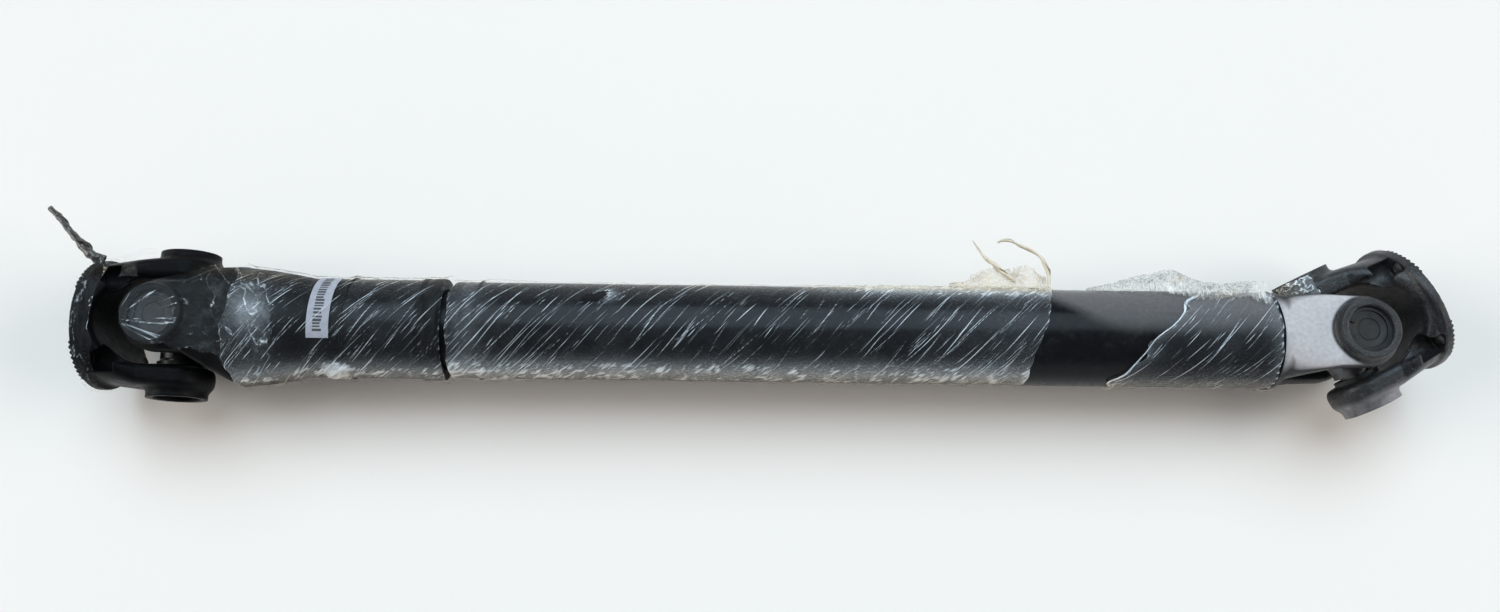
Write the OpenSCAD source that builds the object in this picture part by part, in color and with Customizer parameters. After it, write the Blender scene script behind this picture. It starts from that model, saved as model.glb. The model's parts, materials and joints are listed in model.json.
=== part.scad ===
// Truck propeller shaft: a steel tube with a sliding splined end and a universal joint at each end.
// X runs along the shaft, from the centre of the first flange's mating face. Z points up as it lies.
// Lengths are in millimetres and angles in degrees.

/* [Overall] */
// Distance between the centres of the two crosses, with the sliding end closed
joint_span = 1340; // [1100:10:1600]
// Distance from a flange's mating face to the centre of its cross
face_to_joint = 96; // [95:1:110]
// Angle that the far flange yoke is turned to as the shaft lies
rest_bend = 26; // [0:1:30]

/* [Flange yokes] */
// Diameter of the flange
flange_d = 150; // [146:1:160]
// Thickness of the flange's rim, teeth included
rim_t = 13; // [11:1:16]
// Pitch circle of the bolt holes
bolt_pcd = 130; // [124:1:132]
// Diameter of each bolt hole
bolt_hole_d = 13; // [11:0.5:15]
// Diameter of the spot face round each bolt hole
spot_face_d = 29; // [24:1:30]
// Pitch of the locating teeth across the mating face
tooth_pitch = 6.4; // [5:0.2:8]
// Depth of the locating teeth
tooth_h = 3; // [2:0.5:4]

/* [Yoke ears] */
// Distance from the joint's centre to an ear's machined outer face
ear_face = 85; // [84:0.5:88]
// Half the gap between a pair of ears
ear_in = 49; // [48:0.5:50]
// Radius of an ear's outline round its bore
ear_r = 40; // [38:1:42]
// Radius of the machined face round the bore
boss_r = 33; // [31:0.5:35]

/* [Cross and bearings] */
// Outer diameter of a bearing cup
cup_d = 50; // [50:0.5:52]
// Distance over the ends of two opposite cups
cup_span = 155; // [150:1:156]
// Diameter of a trunnion
trunnion_d = 33; // [31:0.5:34]
// Number of needle rollers in one cup
needle_count = 28; // [20:1:28]

/* [Tube and sliding end] */
// Outer diameter of the main tube
tube_d = 112; // [108:1:116]
// Wall of the main tube
tube_wall = 5; // [4:0.5:6]
// Outer diameter of the dust tube over the splines
dust_tube_d = 115; // [112:1:118]
// Gap between the dust tube and the main tube with the sliding end closed
slide_gap = 11; // [10:1:30]
// Number of spline teeth
spline_teeth = 16; // [12:1:20]

/* [Wrapping] */
// Thickness of the built-up stretch film
film_t = 0.6; // [0.4:0.1:1]
// Width of the paper label
label_w = 25; // [15:1:30]

/* [Hidden] */
$fn = 72;

joint_b = face_to_joint + joint_span;
// Colours
paint = [0.03, 0.032, 0.036];
steel = [0.55, 0.56, 0.58];
machined = [0.2, 0.21, 0.22];
rubber = [0.05, 0.05, 0.05];
film = [0.8, 0.85, 0.9, 0.35];

// Ears
ear_tip_r = 13;
ear_out = ear_in + 2 * ear_tip_r;
knee = 30;
boss_foot = 79;
bore_r = cup_d / 2;
cup_end = cup_span / 2;
circlip_t = 2;
groove_t = 2.2;
groove_r = bore_r + 1.5;
bore_chamfer = 1;
circlip_in_r = groove_r - 5.2;
lug_at = 18.6;
lug_a = 151;
lug_r = 4;
lug_eye_r = 1.25;

// Flange yokes
flange_saddle = 27;
flange_plan = 70;
flange_cone_r = 72;
flange_cone_x = 6;
ear_cone_r = 87;
spot_face_to = 52;
spot_t = 0.4;
tooth_rows = 8;
tooth_root = 0.8;
recess_r = 40;
recess_t = 6;
face_relief = 3.2;

// Forks on the shaft
fork_weld = 84;
fork_root = 81;
fork_neck = 7;
fork_saddle = 22;
fork_plan = 50;
fork_cone_x = 34;
spigot_t = 16;

// Slip yoke's hub, as distances from its joint's centre
hub_start = 56;
hub_wide = 76;
hub_taper_1 = 104;
hub_taper_2 = 129;
hub_end = 154;
hub_r = 69;
pocket_at = 110;
pocket_r = 50;
dust_seam = 200;
spigot_l = 14;
stub_end = 299;
dust_wall = 3;
bead_r = 2.2;
dust_r = dust_tube_d / 2;

// Balance plates: distance along X, width round the tube, length along it
plates = [[560, 36, 55], [1120, 26, 42]];
plate_t = 3;

// Spline
spline_r = 31;
spline_root_r = 27.5;
tooth_half = 2.4;
spline_gap = 0.25;
sleeve_r = 45;
sleeve_start = 216;
neck_l = 30;
plug_at = 6;
plug_r = 36;
tube_r = tube_d / 2;
tube_in = tube_r - tube_wall;
collar_l = 25;
collar_t = 1.6;
lip_t = 3;
seal_l = 14;
dust_end = 402;
tube_end_x = dust_end + slide_gap;
tube_x0 = tube_end_x + neck_l;
tube_x1 = joint_b - fork_weld;

// Bearings
cup_wall = 4.5;
cup_in = bore_r - cup_wall;
cup_l = 34;
cup_floor = 5;
cup_ring_r = 12;
needle_l = 22;
needle_gap = 0.06;
needle_d = cup_in - trunnion_d / 2 - 2 * needle_gap;
seal_t = 4.5;
shoulder_r = 22;
shoulder_at = 38;
shield_t = 2.5;
body_r = 32;
root_r = 26;
trunnion_end = cup_end - cup_floor - 0.15;
grease_r = 3;
grease_way_r = 3.45;
nipple_r = 2.4;
nipple_seat = body_r - 2;
nipple_seat_r = 7;
nipple_hex = 11;

// Film
skin = 0.25;
film_edge_a = 174;
tail_l = 84;
film_end_1 = 1085;
film_start_2 = 1200;
// The label's ends, as angles from the top of the tube
label_from = 21;
label_to = 72;

module along_x(x)
{
    translate([x, 0, 0]) rotate([0, 90, 0]) children();
}

// A ring about the X axis from x0 to x1
module ring_x(x0, x1, r_out, r_in)
{
    along_x(x0) difference()
    {
        cylinder(h = x1 - x0, r = r_out);
        translate([0, 0, -1]) cylinder(h = x1 - x0 + 2, r = r_in);
    }
}

// Places a piece made for one ear on both ears of a pair along Z
module both_ears()
{
    children();
    rotate([180, 0, 0]) children();
}

// Joint frames: the children's origin is the cross's centre, ears lie along Z and the base towards -X
module at_flange_a()
{
    translate([face_to_joint, 0, 0]) rotate([90, 0, 0]) children();
}

module at_slip_yoke()
{
    translate([face_to_joint, 0, 0]) rotate([0, 0, 180]) children();
}

module at_fork_b()
{
    translate([joint_b, 0, 0]) children();
}

module at_flange_b()
{
    translate([joint_b, 0, 0]) rotate([0, 0, 180 + rest_bend]) rotate([90, 0, 0]) children();
}

// Side view of an ear pair: rounded tips, straight backs, round saddle between them
module ear_side(base_x, base_z, saddle)
{
    difference()
    {
        union()
        {
            for (s = [-1, 1]) translate([ear_r - ear_tip_r, s * (ear_in + ear_tip_r)])
                circle(r = ear_tip_r);
            polygon([[ear_r - ear_tip_r, ear_out], [-knee, ear_out], [-base_x, base_z],
                     [-base_x, -base_z], [-knee, -ear_out], [ear_r - ear_tip_r, -ear_out]]);
        }
        translate([-saddle, 0]) circle(r = ear_in);
        translate([-saddle, -ear_in]) square([saddle + 2 * ear_r, 2 * ear_in]);
    }
}

// The outline of an ear as seen along its bore
module ear_plan(base_x, base_half)
{
    circle(r = ear_r);
    polygon([[0, ear_r], [-knee, ear_r + 1], [-base_x, base_half],
             [-base_x, -base_half], [-knee, -ear_r - 1], [0, -ear_r]]);
}

// The two ears of a yoke, trimmed to a cone that widens away from the base
module ears(base_x, base_z, base_half, saddle, cone_r0, cone_r1, cone_x1)
{
    intersection()
    {
        rotate([90, 0, 0]) linear_extrude(height = 4 * ear_r + 40, center = true)
            ear_side(base_x, base_z, saddle);
        linear_extrude(height = 4 * ear_r + 40, center = true) ear_plan(base_x, base_half);
        union()
        {
            along_x(-base_x) cylinder(h = base_x - cone_x1, r1 = cone_r0, r2 = cone_r1);
            along_x(-cone_x1) cylinder(h = cone_x1 + ear_r, r = cone_r1);
        }
    }
    both_ears() ear_boss();
}

// The raised, machined face round the bore
module ear_boss()
{
    translate([0, 0, ear_in + ear_tip_r]) cylinder(h = boss_foot - ear_in - ear_tip_r, r = boss_r);
    translate([0, 0, ear_out - 1]) cylinder(h = boss_foot - ear_out + 1, r1 = ear_r - 1, r2 = boss_r);
    translate([0, 0, boss_foot]) cylinder(h = ear_face - boss_foot, r = boss_r);
}

// What is cut from an ear for its cup and circlip
module ear_bore()
{
    translate([0, 0, ear_in - 5]) cylinder(h = ear_face - ear_in + 10, r = bore_r);
    translate([0, 0, cup_end - 0.1]) cylinder(h = groove_t, r = groove_r);
    translate([0, 0, ear_face - bore_chamfer])
        cylinder(h = bore_chamfer + 1, r1 = bore_r, r2 = bore_r + bore_chamfer + 1);
}

// One band of V-shaped grooves across the mating face, between teeth
module tooth_grooves()
{
    for (i = [-tooth_rows / 2 : tooth_rows / 2 - 1]) translate([0, (i + 0.5) * tooth_pitch, 0])
        rotate([90, 0, 90]) linear_extrude(height = flange_d + 10, center = true)
            polygon([[-tooth_pitch / 2 + tooth_root, -1], [-tooth_root / 2, tooth_h],
                     [tooth_root / 2, tooth_h], [tooth_pitch / 2 - tooth_root, -1]]);
}

// The mating face between the toothed bands stands back
module face_reliefs()
{
    band = tooth_rows * tooth_pitch / 2;
    corner = 1.42 * band;
    for (a = [0 : 90 : 270]) rotate([0, 0, a]) translate([0, 0, -1])
        linear_extrude(height = face_relief + 1)
            polygon([[corner, 0], [flange_d, flange_d - corner], [flange_d, corner - flange_d]]);
}

// Flange with two ears, in its joint's frame
module flange_yoke()
{
    hole_at = bolt_pcd / 2 * sin(45);
    back = face_to_joint - rim_t;
    color(paint) difference()
    {
        union()
        {
            along_x(-face_to_joint) cylinder(h = rim_t - 2, d = flange_d);
            along_x(-back - 2) cylinder(h = 2, d1 = flange_d, d2 = flange_d - 4);
            ears(back + 2, 70, flange_plan, flange_saddle, flange_cone_r, ear_cone_r, flange_cone_x);
        }
        both_ears() ear_bore();
        for (y = [-1, 1], z = [-1, 1]) translate([0, y * hole_at, z * hole_at])
        {
            along_x(-face_to_joint - 1) cylinder(h = rim_t + 20, d = bolt_hole_d);
            along_x(-back - spot_t) cylinder(h = back + spot_t - spot_face_to, d = spot_face_d);
        }
        along_x(-face_to_joint)
        {
            for (a = [45, 135]) rotate([0, 0, a]) tooth_grooves();
            face_reliefs();
            translate([0, 0, -1]) cylinder(h = recess_t + 1, r = recess_r);
        }
    }
}

module flange_yoke_a()
{
    at_flange_a() flange_yoke();
}

module flange_yoke_b()
{
    at_flange_b() flange_yoke();
}

// Four trunnions on a forged body, drilled through for grease
module cross()
{
    color(steel) difference()
    {
        union()
        {
            sphere(r = body_r);
            for (a = [0 : 90 : 270]) rotate([a, 0, 0])
            {
                cylinder(h = trunnion_end, d = trunnion_d);
                cylinder(h = shoulder_at, r = shoulder_r);
                translate([0, 0, body_r / 2]) cylinder(h = body_r / 2 + 1, r1 = root_r, r2 = shoulder_r);
            }
        }
        for (way = [[0, grease_r], [90, grease_way_r]]) rotate([way[0], 0, 0])
            translate([0, 0, -trunnion_end - 1]) cylinder(h = 2 * trunnion_end + 2, r = way[1]);
        rotate([45, 0, 0]) cylinder(h = body_r + 5, r = nipple_r);
        rotate([45, 0, 0]) translate([0, 0, nipple_seat]) cylinder(h = 10, r = nipple_seat_r);
    }
}

// Pressed steel rings on the roots of the trunnions, lipped over the cups' mouths
module dust_shields()
{
    color(steel) for (a = [0 : 90 : 270]) rotate([a, 0, 0]) difference()
    {
        translate([0, 0, shoulder_at]) cylinder(h = shield_t, r = shoulder_r);
        translate([0, 0, shoulder_at - 1]) cylinder(h = shield_t + 2, d = trunnion_d);
    }
}

// Grease nipple between two trunnions
module grease_nipple()
{
    color(steel) rotate([45, 0, 0]) difference()
    {
        union()
        {
            translate([0, 0, nipple_seat - 6]) cylinder(h = 6.2, r = nipple_r);
            translate([0, 0, nipple_seat]) cylinder(h = 5, d = nipple_hex, $fn = 6);
            translate([0, 0, nipple_seat + 5]) cylinder(h = 4, r = 2.5);
            translate([0, 0, nipple_seat + 9]) cylinder(h = 2.5, r1 = 2.5, r2 = 3.3);
            translate([0, 0, nipple_seat + 11.5]) cylinder(h = 2.5, r1 = 3.3, r2 = 1.8);
        }
        translate([0, 0, nipple_seat - 7]) cylinder(h = 22, r = 0.8);
    }
}

// One bearing cup, with a shallow ring pressed into its floor
module cup()
{
    color(machined) difference()
    {
        translate([0, 0, cup_end - cup_l]) cylinder(h = cup_l - 1, r = bore_r);
        translate([0, 0, cup_end - cup_l - 1]) cylinder(h = cup_l - cup_floor + 1, r = cup_in);
    }
    color(machined) difference()
    {
        translate([0, 0, cup_end - 1]) cylinder(h = 1, r1 = bore_r, r2 = bore_r - 1);
        translate([0, 0, cup_end - 0.6]) difference()
        {
            cylinder(h = 1, r = cup_ring_r + 0.6);
            translate([0, 0, -1]) cylinder(h = 3, r = cup_ring_r - 0.6);
        }
    }
}

module cups()
{
    both_ears() cup();
}

module needles()
{
    pitch_r = (cup_in + trunnion_d / 2) / 2;
    color(steel) both_ears() for (i = [0 : needle_count - 1]) rotate([0, 0, i * 360 / needle_count])
        translate([pitch_r, 0, cup_end - cup_floor - 0.5 - needle_l]) cylinder(h = needle_l, d = needle_d);
}

// Rubber lip seal in the mouth of each cup
module seals()
{
    color(rubber) both_ears() difference()
    {
        translate([0, 0, cup_end - cup_l + 0.3]) cylinder(h = seal_t, r = cup_in);
        translate([0, 0, cup_end - cup_l - 1]) cylinder(h = seal_t + 3, r = trunnion_d / 2 + needle_gap);
    }
}

// Internal circlips, open towards the yoke's base, with an eye at each end
module circlips()
{
    color(steel) both_ears() difference()
    {
        union()
        {
            difference()
            {
                translate([0, 0, cup_end]) cylinder(h = circlip_t, r = groove_r - 0.2);
                translate([0.6, 0, cup_end - 1]) cylinder(h = circlip_t + 2, r = circlip_in_r);
                translate([-ear_r, 0, cup_end]) linear_extrude(height = 9, center = true)
                    polygon([[ear_r, 0], [0, ear_r / 2], [0, -ear_r / 2]]);
            }
            for (s = [-1, 1]) rotate([0, 0, s * lug_a]) translate([lug_at + 1.2, 0, cup_end])
                cylinder(h = circlip_t, r = lug_r);
        }
        for (s = [-1, 1]) rotate([0, 0, s * lug_a]) translate([lug_at, 0, cup_end - 1])
            cylinder(h = circlip_t + 2, r = lug_eye_r);
    }
}

// Spline outline: a root circle with straight-sided teeth
module spline_outline(root, tip, half_w)
{
    circle(r = root);
    for (i = [0 : spline_teeth - 1]) rotate(i * 360 / spline_teeth)
        polygon([[root - 2, half_w + 1], [root, half_w + 0.8], [tip, half_w - 0.6],
                 [tip, 0.6 - half_w], [root, -half_w - 0.8], [root - 2, -half_w - 1]]);
}

// Yoke with a wide hub, and the male splined stub that slides in the sleeve
module slip_yoke()
{
    at_slip_yoke() color(paint) difference()
    {
        union()
        {
            ears(hub_wide, hub_r, hub_r, fork_saddle, hub_r, ear_cone_r, hub_start);
            hub();
        }
        both_ears() ear_bore();
        saddle_cut();
    }
    color(steel) along_x(face_to_joint + pocket_at - 1) difference()
    {
        linear_extrude(height = stub_end - pocket_at + 1) spline_outline(spline_root_r, spline_r, tooth_half);
        translate([0, 0, stub_end - pocket_at - 19]) cylinder(h = 25, r1 = 0, r2 = 12);
    }
}

// The hub's body, a cone down to the dust tube's seat, with a pocket for the sleeve
module hub()
{
    rotate([0, -90, 0]) rotate_extrude() polygon([
        [0, hub_start], [hub_r - 3, hub_start], [hub_r, hub_start + 3], [hub_r, hub_wide],
        [hub_r - 3, hub_taper_1], [hub_r - 7, hub_taper_2], [dust_r, hub_end], [dust_r, dust_seam],
        [dust_r - dust_wall, dust_seam], [dust_r - dust_wall, dust_seam + spigot_l],
        [pocket_r, dust_seam + spigot_l], [pocket_r, pocket_at], [0, pocket_at]]);
}

// The space that the other yoke's ears and the cross turn in
module saddle_cut()
{
    rotate([90, 0, 0]) linear_extrude(height = 4 * ear_r, center = true)
    {
        translate([-fork_saddle, 0]) circle(r = ear_in);
        translate([-fork_saddle, -ear_in]) square([fork_saddle + 2 * ear_r, 2 * ear_in]);
    }
}

module dust_tube()
{
    color(paint) ring_x(face_to_joint + dust_seam, dust_end - lip_t, dust_r, dust_r - dust_wall);
}

// Weld bead round the seam at x
module bead(x, r)
{
    along_x(x) rotate_extrude() translate([r, 0]) intersection()
    {
        circle(r = bead_r, $fn = 24);
        translate([0, -bead_r - 1]) square([bead_r + 1, 2 * bead_r + 2]);
    }
}

module dust_tube_weld()
{
    color(paint) bead(face_to_joint + dust_seam, dust_r);
}

// Crimped cap over the dust tube's end
module seal_collar()
{
    x1 = dust_end;
    color(paint) along_x(0) rotate_extrude() polygon([
        [dust_r, x1 - collar_l], [dust_r + collar_t - 0.6, x1 - collar_l],
        [dust_r + collar_t, x1 - collar_l + 0.6], [dust_r + collar_t, x1 - 1.5],
        [dust_r + collar_t - 1.5, x1], [sleeve_r + 2, x1], [sleeve_r + 2, x1 - lip_t],
        [dust_r, x1 - lip_t]]);
}

// Rubber ring that wipes the sliding sleeve
module wiper_seal()
{
    x1 = dust_end - lip_t;
    color(rubber) along_x(0) rotate_extrude() polygon([
        [dust_r - dust_wall, x1], [dust_r - dust_wall, x1 - seal_l], [sleeve_r + 1.5, x1 - seal_l],
        [sleeve_r + 0.1, x1 - seal_l + 2], [sleeve_r + 1.5, x1 - seal_l + 5],
        [sleeve_r + 1.5, x1 - 4], [sleeve_r + 0.1, x1 - 2], [sleeve_r + 1, x1]]);
}

// Splined sleeve, welded into the end of the main tube
module spline_sleeve()
{
    color(steel) difference()
    {
        union()
        {
            along_x(sleeve_start) cylinder(h = tube_end_x - sleeve_start + 1, r = sleeve_r);
            along_x(tube_end_x) cylinder(h = 2, r1 = tube_r - 2, r2 = tube_r);
            along_x(tube_end_x + 2) cylinder(h = neck_l - 2, r = tube_r);
            along_x(tube_x0) cylinder(h = spigot_t, r = tube_in);
        }
        along_x(sleeve_start - 1) linear_extrude(height = tube_x0 + spigot_t - sleeve_start + 2)
            spline_outline(spline_root_r + spline_gap, spline_r + spline_gap, tooth_half + spline_gap);
        along_x(tube_x0 + plug_at) cylinder(h = spigot_t, r = plug_r);
    }
}

// Pressed plug that keeps grease in the sleeve
module sleeve_plug()
{
    color(steel) along_x(tube_x0 + plug_at) difference()
    {
        cylinder(h = 6, r = plug_r);
        translate([0, 0, 2]) cylinder(h = 6, r = plug_r - 2);
    }
}

module main_tube()
{
    color(paint) ring_x(tube_x0, tube_x1, tube_r, tube_in);
}

module tube_welds()
{
    color(paint) bead(tube_x0, tube_r);
    color(paint) bead(tube_x1, tube_r);
}

// Two curved plates tacked on after balancing
module balance_weights()
{
    for (p = plates)
        color(paint) along_x(p[0]) intersection()
        {
            difference()
            {
                cylinder(h = p[2], r = tube_r + plate_t);
                translate([0, 0, -1]) cylinder(h = p[2] + 2, r = tube_r);
            }
            translate([20, -p[1] / 2, 0]) cube([tube_d, p[1], p[2]]);
        }
}

// Fork welded to the far end of the tube
module tube_fork()
{
    at_fork_b() color(paint) difference()
    {
        union()
        {
            ears(fork_root, tube_r + 2, fork_plan, fork_saddle, tube_r, ear_cone_r, fork_cone_x);
            along_x(-fork_weld) cylinder(h = fork_neck, r = tube_r);
            along_x(-fork_weld - spigot_t) cylinder(h = spigot_t + 1, r = tube_in);
        }
        both_ears() ear_bore();
        along_x(-fork_weld - spigot_t - 1) cylinder(h = spigot_t + 1, r = tube_in - 10);
    }
}

// Bearings of the first joint
module cross_a()
{
    at_slip_yoke() cross();
}

module dust_shields_a()
{
    at_slip_yoke() dust_shields();
}

module grease_nipple_a()
{
    at_slip_yoke() grease_nipple();
}

module flange_ear_cups_a()
{
    at_flange_a() cups();
}

module flange_ear_needles_a()
{
    at_flange_a() needles();
}

module flange_ear_seals_a()
{
    at_flange_a() seals();
}

module flange_ear_circlips_a()
{
    at_flange_a() circlips();
}

module shaft_ear_cups_a()
{
    at_slip_yoke() cups();
}

module shaft_ear_needles_a()
{
    at_slip_yoke() needles();
}

module shaft_ear_seals_a()
{
    at_slip_yoke() seals();
}

module shaft_ear_circlips_a()
{
    at_slip_yoke() circlips();
}

// Bearings of the second joint
module cross_b()
{
    at_fork_b() rotate([0, 0, rest_bend]) cross();
}

module dust_shields_b()
{
    at_fork_b() rotate([0, 0, rest_bend]) dust_shields();
}

module grease_nipple_b()
{
    at_fork_b() rotate([0, 0, rest_bend]) grease_nipple();
}

module flange_ear_cups_b()
{
    at_flange_b() cups();
}

module flange_ear_needles_b()
{
    at_flange_b() needles();
}

module flange_ear_seals_b()
{
    at_flange_b() seals();
}

module flange_ear_circlips_b()
{
    at_flange_b() circlips();
}

module shaft_ear_cups_b()
{
    at_fork_b() cups();
}

module shaft_ear_needles_b()
{
    at_fork_b() needles();
}

module shaft_ear_seals_b()
{
    at_fork_b() seals();
}

module shaft_ear_circlips_b()
{
    at_fork_b() circlips();
}

// Plain paper label round the slip yoke, over the film
module paper_label()
{
    r0 = dust_r + skin + film_t + 0.1;
    x0 = face_to_joint + hub_end + 8;
    far = dust_tube_d;
    color("white") intersection()
    {
        ring_x(x0, x0 + label_w, r0 + 0.3, r0);
        translate([x0 - 1, 0, 0]) rotate([90, 0, 90]) linear_extrude(height = label_w + 2)
            polygon([[0, 0], [far * sin(label_to), far * cos(label_to)], [far, far],
                     [-far * sin(label_from), far], [-far * sin(label_from), far * cos(label_from)]]);
    }
}

// Film round the first flange's rim
module film_on_flange_a()
{
    color(film) ring_x(0.5, rim_t + 1, flange_d / 2 + skin + film_t, flange_d / 2 + skin);
}

// Twisted end of film standing off the first flange
module film_tail()
{
    color(film) translate([6, (flange_d / 2 + 5.5) * cos(30), (flange_d / 2 + 5.5) * sin(30)])
        rotate([0, 0, 39]) rotate([-90, 0, 0]) cylinder(h = tail_l, r1 = 6, r2 = 2);
}

// Film over the upper ear of the slip yoke, back to its hub
module film_on_ear()
{
    z0 = ear_face + skin;
    half = boss_r - 3;
    rear = hub_start + 4;
    color(film) translate([face_to_joint, 0, 0]) rotate([90, 0, 0])
        linear_extrude(height = 2 * half, center = true)
            polygon([[5 - boss_r, z0], [boss_r, z0], [rear, hub_r + 3.5], [rear, hub_r + 4.5],
                     [boss_r, z0 + film_t], [5 - boss_r, z0 + film_t]]);
}

// Film round the slip yoke's hub, the dust tube and its collar
module film_on_dust_tube()
{
    j = face_to_joint;
    seam = j + dust_seam;
    k = dust_end - collar_l;
    inner = [[film_edge_a, hub_r], [j + hub_taper_1, hub_r - 3], [j + hub_taper_2, hub_r - 7],
             [j + hub_end, dust_r], [seam - bead_r - 1.3, dust_r], [seam - bead_r - 0.3, dust_r + bead_r],
             [seam + bead_r + 0.3, dust_r + bead_r], [seam + bead_r + 1.3, dust_r], [k - 1, dust_r],
             [k, dust_r + collar_t], [dust_end - 2, dust_r + collar_t]];
    n = len(inner);
    color(film) along_x(0) rotate_extrude() polygon(concat(
        [for (p = inner) [p[1] + skin, p[0]]],
        [for (i = [n - 1 : -1 : 0]) [inner[i][1] + skin + film_t, inner[i][0]]]));
}

// Film round the main tube, open at its ends
module film_on_tube()
{
    color(film) difference()
    {
        ring_x(tube_x0 + 3, film_end_1, tube_r + skin + film_t, tube_r + skin);
        translate([plates[0][0] - 2, -plates[0][1] / 2 - 2, -tube_d])
            cube([plates[0][2] + 4, plates[0][1] + 4, tube_d]);
    }
}

module film_on_tube_end()
{
    color(film) ring_x(film_start_2, tube_x1 - 3, tube_r + skin + film_t, tube_r + skin);
}

// A thin flat piece of film that stands out in Y at height z
module film_sheet(points, z)
{
    color(film) translate([0, 0, z]) linear_extrude(height = 2 * film_t) polygon(points);
}

// Torn flap at the end of the film on the tube
module film_flap()
{
    film_sheet([[1003, 57.5], [1104, 57.5], [1104, 76], [1080, 104], [1060, 112], [1046, 100],
                [1030, 98], [1018, 114], [1008, 104], [1016, 88], [1004, 70]], 8);
}

// Gathered film beside the far end of the tube
module film_bunch()
{
    film_sheet([[1172, 57.5], [1349, 57.5], [1349, 72], [1300, 80], [1240, 84], [1195, 76]], 14);
}

// Patch of film left on the tip of the second flange yoke's ear
module film_on_yoke_b()
{
    r = ear_r + skin;
    at_flange_b() color(film) intersection()
    {
        difference()
        {
            translate([0, 0, ear_in + 3]) cylinder(h = 20, r = r + film_t);
            translate([0, 0, ear_in]) cylinder(h = 30, r = r);
        }
        translate([4, 14, ear_in]) cube([28, ear_r, 30]);
    }
}

flange_yoke_a();
cross_a();
dust_shields_a();
grease_nipple_a();
flange_ear_cups_a();
flange_ear_needles_a();
flange_ear_seals_a();
flange_ear_circlips_a();
shaft_ear_cups_a();
shaft_ear_needles_a();
shaft_ear_seals_a();
shaft_ear_circlips_a();
slip_yoke();
dust_tube();
dust_tube_weld();
seal_collar();
wiper_seal();
spline_sleeve();
sleeve_plug();
main_tube();
tube_welds();
balance_weights();
tube_fork();
shaft_ear_cups_b();
shaft_ear_needles_b();
shaft_ear_seals_b();
shaft_ear_circlips_b();
flange_yoke_b();
cross_b();
dust_shields_b();
grease_nipple_b();
flange_ear_cups_b();
flange_ear_needles_b();
flange_ear_seals_b();
flange_ear_circlips_b();
paper_label();
film_on_flange_a();
film_tail();
film_on_ear();
film_on_dust_tube();
film_on_tube();
film_on_tube_end();
film_flap();
film_bunch();
film_on_yoke_b();
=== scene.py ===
"""Looks of a truck propeller shaft, built round its packed CAD frame."""

import json
import math
from itertools import product

import bmesh
import bpy
import numpy as np
from mathutils import Matrix, Vector


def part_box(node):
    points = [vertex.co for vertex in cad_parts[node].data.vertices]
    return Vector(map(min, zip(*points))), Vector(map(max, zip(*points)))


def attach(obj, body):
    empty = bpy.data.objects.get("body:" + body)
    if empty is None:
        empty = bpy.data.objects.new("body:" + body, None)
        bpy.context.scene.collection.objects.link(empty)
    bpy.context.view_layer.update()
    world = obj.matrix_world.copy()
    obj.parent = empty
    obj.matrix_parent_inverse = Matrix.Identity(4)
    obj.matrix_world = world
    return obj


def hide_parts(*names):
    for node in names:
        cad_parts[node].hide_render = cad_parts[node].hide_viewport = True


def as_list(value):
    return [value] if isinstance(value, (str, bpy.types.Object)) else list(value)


bl_info = {
    "name": "Propeller shaft",
    "version": (1, 0, 0),
    "blender": (4, 5, 0),
    "location": "View3D > Sidebar > Shaft",
    "description": "Builds the looks of a universal joint shaft round its CAD frame",
    "category": "Object",
}

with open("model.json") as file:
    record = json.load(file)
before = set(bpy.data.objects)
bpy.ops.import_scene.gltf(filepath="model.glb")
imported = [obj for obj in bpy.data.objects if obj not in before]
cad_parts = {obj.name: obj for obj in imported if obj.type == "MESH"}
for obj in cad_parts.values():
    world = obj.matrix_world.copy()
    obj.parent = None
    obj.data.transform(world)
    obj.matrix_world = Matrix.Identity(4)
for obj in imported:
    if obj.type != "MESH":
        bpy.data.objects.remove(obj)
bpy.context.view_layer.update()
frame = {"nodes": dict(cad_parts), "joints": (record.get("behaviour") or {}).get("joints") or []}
TURN = 2 * math.pi
TUBE_LOW, TUBE_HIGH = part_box("main_tube")
DUST_LOW, DUST_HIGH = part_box("dust_tube")
COLLAR_LOW, COLLAR_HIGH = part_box("seal_collar")
SLEEVE_LOW, SLEEVE_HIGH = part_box("spline_sleeve")
JOINTS = {j["name"]: j for j in frame["joints"]}
JOINT_A = Vector(JOINTS["joint_a_on_shaft_ears"]["pos_m"])
JOINT_B = Vector(JOINTS["joint_b_on_shaft_ears"]["pos_m"])
BEND_AXIS = JOINTS["joint_b_on_flange_ears"]["axis"]
BEND = math.atan2(-BEND_AXIS[0], BEND_AXIS[1])
MM = 0.001


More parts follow.
